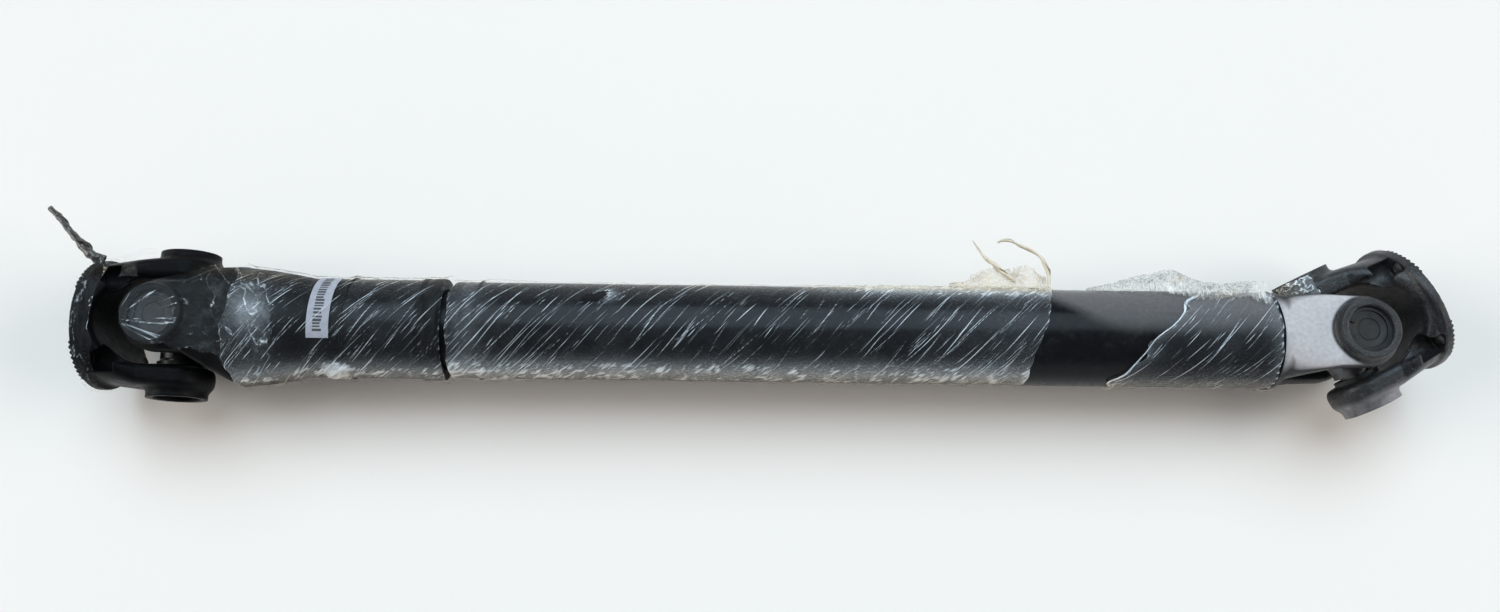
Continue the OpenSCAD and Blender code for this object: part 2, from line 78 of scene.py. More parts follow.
class ShaftSizes(bpy.types.PropertyGroup):
    """Sizes of the steel parts that the frame's boxes don't give."""

    flange_radius: bpy.props.FloatProperty(
        name="Flange radius", description="Radius of both flanges", default=0.075, unit="LENGTH"
    )
    flange_thickness: bpy.props.FloatProperty(
        name="Flange thickness", description="Rim thickness, teeth included", default=0.013, unit="LENGTH"
    )
    face_to_joint: bpy.props.FloatProperty(
        name="Face to joint", description="Mating face to the cross's centre", default=0.096, unit="LENGTH"
    )
    hole_circle: bpy.props.FloatProperty(
        name="Hole circle", description="Pitch circle of the bolt holes", default=0.130, unit="LENGTH"
    )
    hole: bpy.props.FloatProperty(
        name="Bolt hole", description="Diameter of a bolt hole", default=0.013, unit="LENGTH"
    )
    spot_face: bpy.props.FloatProperty(
        name="Spot face", description="Diameter of the face round a bolt hole", default=0.029, unit="LENGTH"
    )
    tooth_pitch: bpy.props.FloatProperty(
        name="Tooth pitch", description="Pitch of the teeth on the mating face", default=0.0064,
        unit="LENGTH"
    )
    tooth_depth: bpy.props.FloatProperty(
        name="Tooth depth", description="Depth of the teeth on the mating face", default=0.003,
        unit="LENGTH"
    )
    ear_inside: bpy.props.FloatProperty(
        name="Ear inside", description="Half the gap between two ears", default=0.049, unit="LENGTH"
    )
    ear_thickness: bpy.props.FloatProperty(
        name="Ear thickness", description="Forged thickness of an ear", default=0.026, unit="LENGTH"
    )
    ear_face: bpy.props.FloatProperty(
        name="Ear face", description="Joint's centre to the machined face", default=0.085, unit="LENGTH"
    )
    ear_radius: bpy.props.FloatProperty(
        name="Ear radius", description="Radius of an ear's rounded end", default=0.040, unit="LENGTH"
    )
    boss_radius: bpy.props.FloatProperty(
        name="Boss radius", description="Radius of the machined face", default=0.033, unit="LENGTH"
    )
    bore_radius: bpy.props.FloatProperty(
        name="Bore radius", description="Radius of the cup's bore", default=0.025, unit="LENGTH"
    )
    forging_step: bpy.props.FloatProperty(
        name="Forging detail", description="Mesh step on the forgings", default=0.0011, unit="LENGTH"
    )
    round_segments: bpy.props.IntProperty(
        name="Round segments", description="Segments round a turned part", default=160, min=24
    )


class FilmSizes(bpy.types.PropertyGroup):
    """How the stretch film lies."""

    gap: bpy.props.FloatProperty(
        name="Gap", description="Film to the surface under it", default=0.0006, unit="LENGTH"
    )
    streak_height: bpy.props.FloatProperty(
        name="Streak height", description="Height of a tension wrinkle", default=0.0009, unit="LENGTH"
    )
    streak_width: bpy.props.FloatProperty(
        name="Streak width", description="Half width of a tension wrinkle", default=0.00044, unit="LENGTH"
    )
    slope: bpy.props.FloatProperty(
        name="Slope", description="Run round the tube for each metre along it", default=1.1, min=0.3
    )
    step: bpy.props.FloatProperty(
        name="Film detail", description="Mesh step across the wrinkles", default=0.0006, unit="LENGTH"
    )
    clear_alpha: bpy.props.FloatProperty(
        name="Clear film", description="Opacity of flat film", default=0.006, subtype="FACTOR"
    )


class Finishes(bpy.types.PropertyGroup):
    """Base colours."""

    paint: bpy.props.FloatVectorProperty(
        name="Paint", description="Satin black paint", default=(0.0060, 0.0066, 0.0080), subtype="COLOR"
    )
    dust: bpy.props.FloatVectorProperty(
        name="Dust", description="Dust and scuffs on the paint", default=(0.17, 0.17, 0.165),
        subtype="COLOR"
    )
    # Kept dark: oiled steel, darkened further as painted shade on the parts inside the joints and the sleeve.
    steel: bpy.props.FloatVectorProperty(
        name="Steel", description="Machined steel under oil", default=(0.10, 0.10, 0.105), subtype="COLOR"
    )
    oiled: bpy.props.FloatVectorProperty(
        name="Oiled black", description="Blackened bearing parts", default=(0.018, 0.019, 0.021),
        subtype="COLOR"
    )
    rubber: bpy.props.FloatVectorProperty(
        name="Rubber", description="Seal lips", default=(0.018, 0.018, 0.018), subtype="COLOR"
    )
    film: bpy.props.FloatVectorProperty(
        name="Film",
        description="Light that the film's creases scatter",
        default=(0.72, 0.80, 0.87),
        subtype="COLOR",
    )
    # Also the tone of the painted reflection of the warm floor that the films take along their edges.
    warm_film: bpy.props.FloatVectorProperty(
        name="Warm film", description="Torn film that has yellowed", default=(0.72, 0.62, 0.48),
        subtype="COLOR"
    )
    grimy_film: bpy.props.FloatVectorProperty(
        name="Grimy film",
        description="Twisted film that has picked up dirt",
        default=(0.035, 0.033, 0.028),
        subtype="COLOR",
    )
    paper: bpy.props.FloatVectorProperty(
        name="Label", description="Label paper", default=(0.35, 0.36, 0.42), subtype="COLOR"
    )
    floor: bpy.props.FloatVectorProperty(
        name="Floor", description="Plain pale floor", default=(0.90, 0.845, 0.80), subtype="COLOR"
    )


class StageSettings(bpy.types.PropertyGroup):
    """Floor, lights and camera."""

    floor_height: bpy.props.FloatProperty(
        name="Floor height", description="Height of the floor", default=-0.0852, unit="LENGTH"
    )
    overhead: bpy.props.FloatProperty(
        name="Overhead", description="Strength of the broad overhead light", default=2.3, min=0.0
    )
    side: bpy.props.FloatProperty(
        name="Sides", description="Strength of the broad light beyond each end of the shaft", default=1.35,
        min=0.0
    )
    horizon: bpy.props.FloatProperty(
        name="Horizon", description="Strength of the surround at the horizon", default=0.95, min=0.0
    )
    zenith: bpy.props.FloatProperty(
        name="Zenith", description="Strength of the surround overhead", default=0.10, min=0.0
    )
    sky: bpy.props.FloatVectorProperty(
        name="Surround", description="Colour of the soft surround", default=(0.93, 0.96, 1.0),
        subtype="COLOR"
    )
    camera_at: bpy.props.FloatVectorProperty(
        name="Camera place", description="Place of the camera", default=(0.7498, -0.2549, 1.3818),
        subtype="TRANSLATION", unit="LENGTH"
    )
    camera_turn: bpy.props.FloatVectorProperty(
        name="Camera turn",
        description="Turn of the camera",
        default=tuple(math.radians(a) for a in (11.77, -0.29, 0.71)),
        subtype="EULER",
    )
    camera_lens: bpy.props.FloatProperty(
        name="Lens", description="Focal length on a 36 mm sensor", default=28.96, min=1.0,
        subtype="DISTANCE_CAMERA"
    )


GROUPS = {
    "shaft_sizes": ShaftSizes, "film_sizes": FilmSizes, "finishes": Finishes, "shaft_stage": StageSettings
}


# Shaders


class Shader:
    """A new material's nodes, wired by short calls. Places are in the piece's own frame, in metres."""

    def __init__(self, name):
        self.material = bpy.data.materials.new(name)
        self.material.use_nodes = True
        self.tree = self.material.node_tree
        self.surface = self.tree.nodes["Principled BSDF"]
        self.place = self.add("ShaderNodeTexCoord").outputs["Object"]

    def add(self, kind, links=None, **values):
        """Adds a node, sets its properties and feeds its sockets."""
        node = self.tree.nodes.new(kind)
        for key, value in values.items():
            setattr(node, key, value)
        for key, value in (links or {}).items():
            self.put(node.inputs[key], value)
        return node

    def put(self, socket, value):
        """Links a socket to that value if it comes from a node, or else sets it."""
        if isinstance(value, bpy.types.NodeSocket):
            self.tree.links.new(value, socket)
        else:
            socket.default_value = value

    def set(self, **values):
        """Sets the surface's sockets, with spaces written as underscores."""
        for key, value in values.items():
            self.put(self.surface.inputs[key.replace("_", " ")], value)

    def noise(self, scale, detail=3.0, stretch=None, distortion=0.0, roughness=0.55):
        """Cloudy noise in the piece's frame. stretch is a rotation and a scale of its place."""
        place = self.place
        if stretch:
            links = {"Vector": place, "Rotation": stretch[0], "Scale": stretch[1]}
            place = self.add("ShaderNodeMapping", links).outputs[0]
        links = {"Vector": place, "Scale": scale, "Detail": detail}
        links |= {"Distortion": distortion, "Roughness": roughness}
        return self.add("ShaderNodeTexNoise", links).outputs[0]

    def spread(self, value, low, high, to_low=0.0, to_high=1.0):
        """Maps low..high to to_low..to_high smoothly, and holds it there outside."""
        links = {"Value": value, "From Min": low, "From Max": high, "To Min": to_low, "To Max": to_high}
        return self.add("ShaderNodeMapRange", links, interpolation_type="SMOOTHSTEP").outputs[0]

    def maths(self, kind, a, b):
        """One sum of two values."""
        return self.add("ShaderNodeMath", {0: a, 1: b}, operation=kind).outputs[0]

    def mix(self, share, a, b):
        """Blends two colours."""
        node = self.add("ShaderNodeMix", {0: share}, data_type="RGBA")
        for socket, value in ((node.inputs[6], a), (node.inputs[7], b)):
            self.put(socket, value if isinstance(value, bpy.types.NodeSocket) else (*value, 1.0))
        return node.outputs[2]

    def attribute(self, name):
        """A value that the mesh carries at each point."""
        return self.add("ShaderNodeAttribute", attribute_name=name).outputs["Fac"]

    def bump(self, *layers):
        """Stacks (height, strength, depth) layers and wires them to the surface."""
        normal = None
        for height, strength, depth in layers:
            links = {"Height": height, "Strength": strength, "Distance": depth}
            if normal:
                links["Normal"] = normal
            normal = self.add("ShaderNodeBump", links).outputs[0]
        self.set(Normal=normal)


def paint(name, colour, dust, dusty, rough, peel, forged=0.0, sheen=0.36, flecks=0.0):
    """Satin paint with orange peel, dust, scuffs and chips, over a smooth or forged skin.

    A value that the mesh carries says where it is pale: worn paint on some pieces, and dust, painted
    highlights and painted reflections on others.
    """
    s = Shader(name)
    patch = s.noise(14.0, 4.0, distortion=0.6)
    speck = s.noise(900.0, 2.0)
    cover = s.maths("MULTIPLY", s.spread(patch, 0.48, 0.74), s.spread(speck, 0.42, 0.72))
    smear = s.maths("MULTIPLY", s.spread(s.noise(45.0, 5.0), 0.56, 0.75), 0.35)
    share = s.maths("MULTIPLY", s.maths("ADD", cover, smear), dusty)
    body = s.mix(s.noise(60.0, 2.0), tuple(0.8 * c for c in colour), tuple(1.5 * c for c in colour))
    if flecks:
        share = s.maths(
            "MAXIMUM", share, s.maths("MULTIPLY", s.spread(s.noise(1300.0, 1.0), 0.66, 0.72), flecks)
        )
    body = s.mix(share, body, dust)
    # The pale colour of worn paint and dust, and of the painted highlights and painted reflections.
    bright = s.mix(s.noise(240.0, 4.0), (0.36, 0.35, 0.37), (0.62, 0.60, 0.62))
    s.set(Base_Color=s.mix(s.attribute("wear_dust_and_sheen"), body, bright), Specular_IOR_Level=sheen)
    s.set(
        Roughness=s.maths(
            "ADD", s.spread(s.noise(120.0, 4.0), 0.3, 0.7, *rough), s.maths("MULTIPLY", share, 0.35)
        )
    )
    layers = [(s.noise(620.0, 2.0), peel, 0.0004), (s.noise(2600.0, 2.0), peel * 0.5, 0.0001)]
    if forged:
        layers.insert(0, (s.noise(150.0, 5.0, roughness=0.6), forged, 0.0016))
    s.bump(*layers)
    return s.material


def metal(name, colour, metallic, rough, grain=0.25):
    """Machined or pressed steel with a film of oil and faint tool marks."""
    s = Shader(name)
    body = s.mix(s.noise(240.0, 4.0), tuple(0.7 * c for c in colour), tuple(1.25 * c for c in colour))
    stain = s.spread(s.noise(70.0, 4.0), 0.52, 0.72)
    s.set(
        Base_Color=s.mix(s.maths("MULTIPLY", stain, 0.5), body, tuple(0.35 * c for c in colour)),
        Metallic=metallic,
    )
    s.set(Roughness=s.spread(s.noise(160.0, 3.0), 0.3, 0.7, *rough))
    s.bump((s.noise(1500.0, 2.0), grain, 0.0002), (s.noise(380.0, 3.0), grain * 0.6, 0.0003))
    return s.material


def rubber(name, colour):
    """Moulded seal rubber, faintly mottled."""
    s = Shader(name)
    s.set(Base_Color=s.mix(s.noise(300.0), colour, tuple(2.2 * c for c in colour)))
    s.set(Roughness=s.spread(s.noise(200.0), 0.3, 0.7, 0.5, 0.75))
    s.bump((s.noise(900.0), 0.3, 0.0002))
    return s.material


def film(name, colour, clear, cloudy, glare=0.0, other=None, low=None):
    """Clear film, which lets the steel show where it is flat and scatters light at its creases.

    The mesh's own values say where it does so: the crease value marks creases, the haze value marks haze and
    also painted glare and painted reflections of the floor, and the warm value marks a painted reflection of
    the warm floor and room.
    """
    s = Shader(name)
    crease = s.attribute("crease")
    haze_and_glare = s.attribute("haze_and_glare")
    # Painted glare: cloudy patches of extra opacity, as strong as the glare argument.
    painted_glare = s.spread(s.noise(70.0, 5.0, distortion=1.2), 0.45, 0.75, 0.0, glare)
    fine = s.spread(s.noise(700.0, 3.0, ((0.0, 0.0, math.radians(42)), (0.25, 1.0, 1.0))), 0.5, 0.8)
    alpha = s.maths(
        "ADD", s.maths("ADD", clear, s.spread(crease, 0.22, 0.85, 0.0, cloudy)), s.maths("ADD", haze_and_glare, painted_glare)
    )
    alpha = s.maths("ADD", alpha, s.maths("MULTIPLY", fine, s.maths("MULTIPLY", haze_and_glare, 1.4)))
    tint = s.mix(
        s.spread(s.noise(30.0), 0.35, 0.65), colour, other or tuple(min(1.0, 1.12 * c) for c in colour)
    )
    # The warm value tints the film with a painted reflection of the floor and the room.
    s.set(Base_Color=s.mix(s.attribute("warm"), tint, low or tuple(bpy.context.scene.finishes.warm_film)))
    s.set(
        Alpha=s.maths("MINIMUM", alpha, 0.94), Roughness=s.spread(s.noise(90.0, 3.0), 0.3, 0.7, 0.16, 0.34)
    )
    s.set(IOR=1.5, Specular_IOR_Level=0.8)
    s.bump(
        (s.noise(260.0, 4.0, ((0.0, 0.0, math.radians(42)), (0.3, 1.0, 1.0))), 0.5, 0.0008),
        (s.noise(1100.0), 0.35, 0.0002),
    )
    return s.material


def paper(name, colour):
    """Matt label paper with fibres and a slightly grey, handled face."""
    s = Shader(name)
    s.set(
        Base_Color=s.mix(s.spread(s.noise(120.0, 5.0), 0.4, 0.7), colour, tuple(0.86 * c for c in colour))
    )
    s.set(Roughness=s.spread(s.noise(800.0), 0.3, 0.7, 0.5, 0.7))
    s.bump((s.noise(1600.0, 4.0), 0.2, 0.0002), (s.noise(60.0), 0.3, 0.0008))
    return s.material


def ink(name):
    """Printing ink on the label."""
    s = Shader(name)
    s.set(
        Base_Color=s.mix(s.noise(900.0), (0.02, 0.02, 0.022), (0.06, 0.06, 0.065)),
        Roughness=s.spread(s.noise(500.0), 0.3, 0.7, 0.5, 0.7),
    )
    return s.material


FINISH = {}


def finish(key):
    """The material of that name, made the first time it is asked for."""
    if key not in FINISH:
        c = bpy.context.scene.finishes
        black, dust = tuple(c.paint), tuple(c.dust)
        makers = {
            "tube_paint": lambda: paint(
                "satin_black_tube", black, dust, 0.12, (0.18, 0.30), 0.10, 0.0, 0.12
            ),
            "forged_paint": lambda: paint(
                "satin_black_forging", tuple(0.4 * x for x in black), dust, 0.02, (0.34, 0.48), 0.25, 0.35,
                0.07
            ),
            "dusty_paint": lambda: paint(
                "scuffed_black_forging", tuple(1.6 * x for x in black), dust, 0.36, (0.30, 0.44), 0.3, 0.5,
                0.4, 1.0
            ),
            "steel": lambda: metal("ground_steel", tuple(c.steel), 1.0, (0.28, 0.45)),
            "oiled": lambda: metal("oiled_black_steel", tuple(c.oiled), 0.35, (0.32, 0.5), 0.35),
            "rubber": lambda: rubber("seal_rubber", tuple(c.rubber)),
            "film": lambda: film(
                "stretch_film", tuple(c.film), bpy.context.scene.film_sizes.clear_alpha, 0.85, 0.006
            ),
            "cloudy_film": lambda: film(
                "gathered_film", tuple(c.film), 0.12, 0.6, 0.25, tuple(c.warm_film), (0.80, 0.79, 0.75)
            ),
            "warm_film": lambda: film("torn_film", tuple(c.warm_film), 0.30, 0.6, 0.35),
            "grimy_film": lambda: film(
                "grimy_film", tuple(c.grimy_film), 0.80, 0.3, 0.2, low=tuple(0.7 * x for x in c.grimy_film)
            ),
            "paper": lambda: paper("label_paper", tuple(c.paper)),
            "ink": lambda: ink("label_ink"),
        }
        FINISH[key] = makers[key]()
    return FINISH[key]


# Meshes


def solid(name, points, faces, *keys, smooth=True, slots=None):
    """A mesh object from points in metres, faces as lists of corners, and finishes by key."""
    mesh = bpy.data.meshes.new(name)
    mesh.from_pydata(np.asarray(points, float).tolist(), [], faces)
    for key in keys:
        mesh.materials.append(finish(key))
    if slots is not None:
        mesh.polygons.foreach_set("material_index", slots)
    mesh.polygons.foreach_set("use_smooth", [smooth] * len(mesh.polygons))
    mesh.update()
    thing = bpy.data.objects.new(name, mesh)
    bpy.context.scene.collection.objects.link(thing)
    return thing


def sharpen(thing, degrees=35.0):
    """Smooth shading that keeps edges sharper than that angle."""
    mesh = thing.data
    mesh.set_sharp_from_angle(angle=math.radians(degrees))
    return thing


def mark(thing, name, values):
    """Stores a value for each point, which a material reads by name."""
    layer = thing.data.attributes.new(name, "FLOAT", "POINT")
    layer.data.foreach_set("value", np.asarray(values, np.float32).ravel())


def grid_faces(rows, columns, closed=False):
    """Quads of a grid whose point (row, column) is number row * columns + column."""
    i, j = np.meshgrid(np.arange(rows - 1), np.arange(columns if closed else columns - 1), indexing="ij")
    k = (j + 1) % columns
    return np.stack(
        [i * columns + j, i * columns + k, (i + 1) * columns + k, (i + 1) * columns + j], -1
    ).reshape(-1, 4)


def turned(name, profile, *keys, segments=None, transform=None):
    """A closed ring or plug turned about X, from (x, radius) corners in order round its section."""
    n = segments or bpy.context.scene.shaft_sizes.round_segments
    profile = np.array(list(profile) + [profile[0]], float)
    angle = np.arange(n) * TURN / n
    x = np.repeat(profile[:, 0], n)
    r = np.repeat(profile[:, 1], n)
    a = np.tile(angle, len(profile))
    points = np.stack([x, r * np.cos(a), r * np.sin(a)], 1)
    faces = grid_faces(len(profile), n, closed=True)
    last = (len(profile) - 1) * n
    faces = np.where(faces >= last, faces - last, faces)
    made = [list(dict.fromkeys(f)) for f in faces.tolist()]
    thing = solid(name, points[:last], made, *keys)
    if transform is not None:
        thing.data.transform(transform)
    tidy(thing)
    return sharpen(thing)


def tidy(thing):
    """Joins points that coincide and turns the faces outwards."""
    b = bmesh.new()
    b.from_mesh(thing.data)
    bmesh.ops.remove_doubles(b, verts=b.verts, dist=1e-7)
    bmesh.ops.dissolve_degenerate(b, edges=b.edges, dist=1e-7)
    bmesh.ops.recalc_face_normals(b, faces=b.faces)
    b.to_mesh(thing.data)
    b.free()


def smooth_min(a, b, k):
    """The nearer of two distances, with a fillet of about k where they meet."""
    h = np.clip(0.5 + 0.5 * (b - a) / k, 0.0, 1.0)
    return b + (a - b) * h - k * h * (1.0 - h)


def smooth_max(a, b, k):
    """The larger of two fields, with its corner rounded over k."""
    return -smooth_min(-a, -b, k)


def outline(px, py, corners):
    """Signed distance to a closed polygon, negative inside."""
    nearest = np.full(px.shape, 1e9)
    sign = np.ones(px.shape)
    for (ax, ay), (bx, by) in zip(corners, corners[-1:] + corners[:-1]):
        ex, ey, wx, wy = bx - ax, by - ay, px - ax, py - ay
        t = np.clip((wx * ex + wy * ey) / (ex * ex + ey * ey), 0.0, 1.0)
        nearest = np.minimum(nearest, (wx - ex * t) ** 2 + (wy - ey * t) ** 2)
        c = np.stack([py >= ay, py < by, ex * wy > ey * wx])
        sign = np.where(c.all(0) | ~c.any(0), -sign, sign)
    return sign * np.sqrt(nearest)


def skin(field, origin, step):
    """Points and quads of the surface where the field crosses zero (surface nets)."""
    inside = field < 0
    corners = list(product((0, 1), repeat=3))
    cells = [field[tuple(slice(c, n - 1 + c) for c, n in zip(corner, field.shape))] for corner in corners]
    count = sum((c < 0).astype(np.int8) for c in cells)
    crossed = (count > 0) & (count < 8)
    number = np.full(crossed.shape, -1, np.int64)
    number[crossed] = np.arange(crossed.sum())
    place = np.argwhere(crossed).astype(float)
    values = np.stack([c[crossed] for c in cells], 1)
    total, hits = np.zeros_like(place), np.zeros(len(place))
    for a, b in product(range(8), repeat=2):
        ca, cb = np.array(corners[a]), np.array(corners[b])
        if a < b and abs(cb - ca).sum() == 1:
            va, vb = values[:, a], values[:, b]
            cut = (va < 0) != (vb < 0)
            t = np.where(cut, va / np.where(cut, va - vb, 1.0), 0.0)
            total += np.where(cut[:, None], ca + t[:, None] * (cb - ca), 0.0)
            hits += cut
    points = np.asarray(origin) + (place + total / hits[:, None]) * step
    quads = []
    for axis in range(3):
        u, v = (axis + 1) % 3, (axis + 2) % 3
        low = [slice(1, -1)] * 3
        high = [slice(1, -1)] * 3
        low[axis], high[axis] = slice(0, -1), slice(1, None)
        at = np.argwhere(inside[tuple(low)] != inside[tuple(high)])
        at[:, u] += 1
        at[:, v] += 1
        ring = []
        for du, dv in ((-1, -1), (0, -1), (0, 0), (-1, 0)):
            cell = at.copy()
            cell[:, u] += du
            cell[:, v] += dv
            ring.append(number[tuple(cell.T)])
        ring = np.stack(ring, 1)
        backwards = ~inside[tuple(at.T)]
        ring[backwards] = ring[backwards][:, ::-1]
        quads.append(ring)
    return points, np.concatenate(quads)


# Forgings. Their fields are in millimetres, in their joint's frame: ears along Z, base towards -X.


def sizes():
    """The shaft's sizes in millimetres."""
    group = bpy.context.scene.shaft_sizes
    return {key: getattr(group, key) / MM for key in group.__annotations__ if key != "round_segments"}


def saddle_field(x, z, inside, saddle):
    """The round-bottomed space between two ears."""
    x, z = np.broadcast_arrays(x, z)
    return np.where(x < -saddle, np.hypot(x + saddle, z) - inside, np.abs(z) - inside)


def ears_field(x, y, z, base, saddle, cone):
    """Two ears with their bosses, in mm.

    base is their root's (distance, half height, half width), and cone the (x, radius) pairs that trim them.
    """
    s = sizes()
    knee, half = 30.0, s["ear_thickness"] / 2
    out, middle, round_at = s["ear_inside"] + 2 * half, s["ear_inside"] + half, s["ear_radius"] - half
    root, high, wide = base
    sx, sz = np.broadcast_arrays(x, z)
    side = outline(
        sx, sz, [(60.0, out), (-knee, out), (-root, high), (-root, -high), (-knee, -out), (60.0, -out)]
    )
    side = smooth_max(side, -saddle_field(x, z, s["ear_inside"], saddle), 6.0)
    tip = np.hypot(sx - round_at, np.abs(sz) - middle) - half
    side = np.maximum(side, np.where(sx > round_at, tip, -1e3))
    px, py = np.broadcast_arrays(x, y)
    r = s["ear_radius"]
    plan = outline(
        px, py, [(0.0, r), (-knee, r + 1.0), (-root, wide), (-root, -wide), (-knee, -r - 1.0), (0.0, -r)]
    )
    plan = np.minimum(plan, np.hypot(px, py) - r)
    ears = smooth_max(side, plan, 9.0)
    reach = np.hypot(y, z)
    ears = smooth_max(ears, reach - np.interp(x, *zip(*cone)), 9.0)
    boss = np.maximum(
        np.hypot(x, y) - s["boss_radius"], np.maximum(np.abs(z) - s["ear_face"], middle - np.abs(z))
    )
    return smooth_min(ears, boss, 6.0)


def bored(body, x, y, z):
    """Cuts the cups' bores, with a chamfer at each mouth."""
    s = sizes()
    bore = s["bore_radius"] + np.clip(np.abs(z) - s["ear_face"] + 1.2, 0.0, 3.0)
    return smooth_max(body, bore - np.hypot(x, y), 0.8)


def flange_yoke_field(x, y, z):
    """The flange yoke as a field in mm, negative inside; its mating face looks towards -X."""
    s = sizes()
    face, thick = s["face_to_joint"], s["flange_thickness"]
    recess_radius, recess_depth, relief_depth = 40.0, 6.0, 3.2
    spot_face_reach = 52.0
    back = face - thick
    reach = np.hypot(y, z)
    disc = smooth_max(reach - s["flange_radius"], np.abs(x + face - thick / 2) - thick / 2, 3.0)
    ears = ears_field(x, y, z, (back + 2, 70.0, 70.0), 27.0, [(-back - 2, 72.0), (-6.0, 87.0)])
    body = bored(smooth_min(disc, ears, 7.0), x, y, z)
    for sy, sz in product((-1, 1), repeat=2):
        at = s["hole_circle"] / 2 * math.sin(math.pi / 4)
        away = np.hypot(y - sy * at, z - sz * at)
        pocket = np.maximum(away - s["spot_face"] / 2, np.maximum(-x - back - 0.4, x + spot_face_reach))
        body = smooth_max(body, -pocket, 2.0)
        from_face = np.abs(np.abs(x + face - thick / 2) - thick / 2)
        rim = s["hole"] / 2 + np.clip(1.2 - from_face, 0.0, 1.2) * 0.6
        body = smooth_max(body, rim - away, 0.6)
    u, w = (y + z) / math.sqrt(2), (z - y) / math.sqrt(2)
    band = 4 * s["tooth_pitch"]
    depth = np.full(np.broadcast(y, z).shape, relief_depth)
    for across in (w, u):
        wave = np.abs(np.mod(across / s["tooth_pitch"], 1.0) - 0.5) * 2
        teeth = s["tooth_depth"] * np.clip((1.0 - wave) * 1.3 - 0.12, 0.0, 1.0)
        depth = np.where(np.abs(across) < band, np.minimum(depth, teeth), depth)
    depth = np.where(reach < recess_radius, recess_depth, depth)
    return np.maximum(body, (-face + depth - x) * 0.6)


def slip_yoke_field(x, y, z):
    """The slip yoke as a field in mm: its ears, its wide hub and the pocket between them."""
    s = sizes()
    reach = np.hypot(y, z)
    ears = ears_field(x, y, z, (76.0, 69.0, 69.0), 22.0, [(-76.0, 69.0), (-56.0, 87.0)])
    stations = [56.0, 59.0, 76.0, 104.0, 129.0, 154.0, 200.0, 200.1, 214.0]
    hub = np.interp(-x, stations, [66.0, 69.0, 69.0, 66.0, 62.0, 57.5, 57.5, 54.5, 54.5])
    hub = np.maximum(reach - hub, np.maximum(x + 56.0, -214.0 - x))
    body = smooth_min(ears, hub, 6.0)
    body = smooth_max(body, -saddle_field(x, z, s["ear_inside"], 22.0), 5.0)
    pocket = np.maximum(reach - 50.0, x + 110.0)
    body = np.maximum(body, -pocket)
    return bored(body, x, y, z)


def tube_fork_field(x, y, z):
    """The tube's fork as a field in mm: its ears, the weld's neck and the spigot in the tube."""
    reach = np.hypot(y, z)
    ears = ears_field(x, y, z, (81.0, 58.0, 50.0), 22.0, [(-81.0, 56.0), (-34.0, 87.0)])
    neck = np.maximum(reach - 56.0, np.abs(x + 80.5) - 3.5)
    spigot = np.maximum(reach - 51.0, np.abs(x + 92.0) - 8.0)
    body = np.minimum(smooth_min(ears, neck, 5.0), spigot)
    hollow = np.maximum(reach - 41.0, x + 84.0)
    body = np.maximum(body, -hollow)
    return bored(body, x, y, z)


def forged(name, field, low, high, key):
    """A forging's mesh in its joint's frame, in metres."""
    step = bpy.context.scene.shaft_sizes.forging_step / MM * 1.0
    axes = [np.arange(a - 1.7 * step, b + 2 * step, step, dtype=np.float32) for a, b in zip(low, high)]
    x, y, z = np.meshgrid(*axes, indexing="ij", sparse=True)
    points, quads = skin(field(x, y, z), [a[0] for a in axes], step)
    return solid(name, points * MM, quads.tolist(), key)


def joint_frame(at, turn=0.0, roll=0.0):
    """Places a part made round a joint's centre, turned about Z and rolled about X."""
    return Matrix.Translation(at) @ Matrix.Rotation(turn, 4, "Z") @ Matrix.Rotation(roll, 4, "X")


FRAME_FLANGE_A = joint_frame(JOINT_A, 0.0, math.pi / 2)
FRAME_SLIP_YOKE = joint_frame(JOINT_A, math.pi)
FRAME_FORK_B = joint_frame(JOINT_B)
FRAME_FLANGE_B = joint_frame(JOINT_B, math.pi + BEND, math.pi / 2)


# Film


def lumps(u, v, seed, octaves=4, turn=256, gain=0.5):
    """Smooth noise from -1 to 1. It repeats in v after turn cells."""
    table = np.random.default_rng(seed).uniform(-1.0, 1.0, (256, 1024))
    total, weight = np.zeros(np.broadcast(u, v).shape), 0.0
    for k in range(octaves):
        a, b = u * 2**k + 17.31 * k, v * 2**k
        i, j = np.floor(a).astype(int), np.floor(b).astype(int)
        f, g = a - i, b - j
        f, g = f * f * (3 - 2 * f), g * g * (3 - 2 * g)
        i0, i1, period = i % 256, (i + 1) % 256, turn * 2**k
        j0, j1 = (j % period + 37 * k) % 1024, ((j + 1) % period + 37 * k) % 1024
        low = table[i0, j0] * (1 - f) + table[i1, j0] * f
        high = table[i0, j1] * (1 - f) + table[i1, j1] * f
        total += gain**k * (low * (1 - g) + high * g)
        weight += gain**k
    return total / weight


def folds(u, v, seed, octaves=3, turn=256):
    """Sharp creases: 1 on a crease, falling to 0 between."""
    return np.clip(1.0 - 3.2 * np.abs(lumps(u, v, seed, octaves, turn)), 0.0, 1.0)


def spline(points, count):
    """Points spread evenly by number along a smooth curve through the given ones (Catmull-Rom)."""
    p = np.asarray(points, float)
    p = np.concatenate([[2 * p[0] - p[1]], p, [2 * p[-1] - p[-2]]])
    t = np.linspace(0, len(p) - 3 - 1e-9, count)
    i = np.floor(t).astype(int)
    f = (t - i).reshape((-1,) + (1,) * (p.ndim - 1))
    a, b, c, d = p[i], p[i + 1], p[i + 2], p[i + 3]
    return 0.5 * (2 * b + (c - a) * f + (2 * a - 5 * b + 4 * c - d) * f**2 + (3 * b - a - 3 * c + d) * f**3)


def area_of(thing):
    """A mesh's area in square metres."""
    return sum(p.area for p in thing.data.polygons)


def warmth(at):
    """How far the film at a point takes a painted reflection of the warm floor and the room round it."""
    side = (at.y - 0.040) / 0.012 if at.y < 0.0605 and at.x < 1.36 else 0.0
    return min(max((0.040 - at.z) / 0.03, side, 0.0), 0.9)


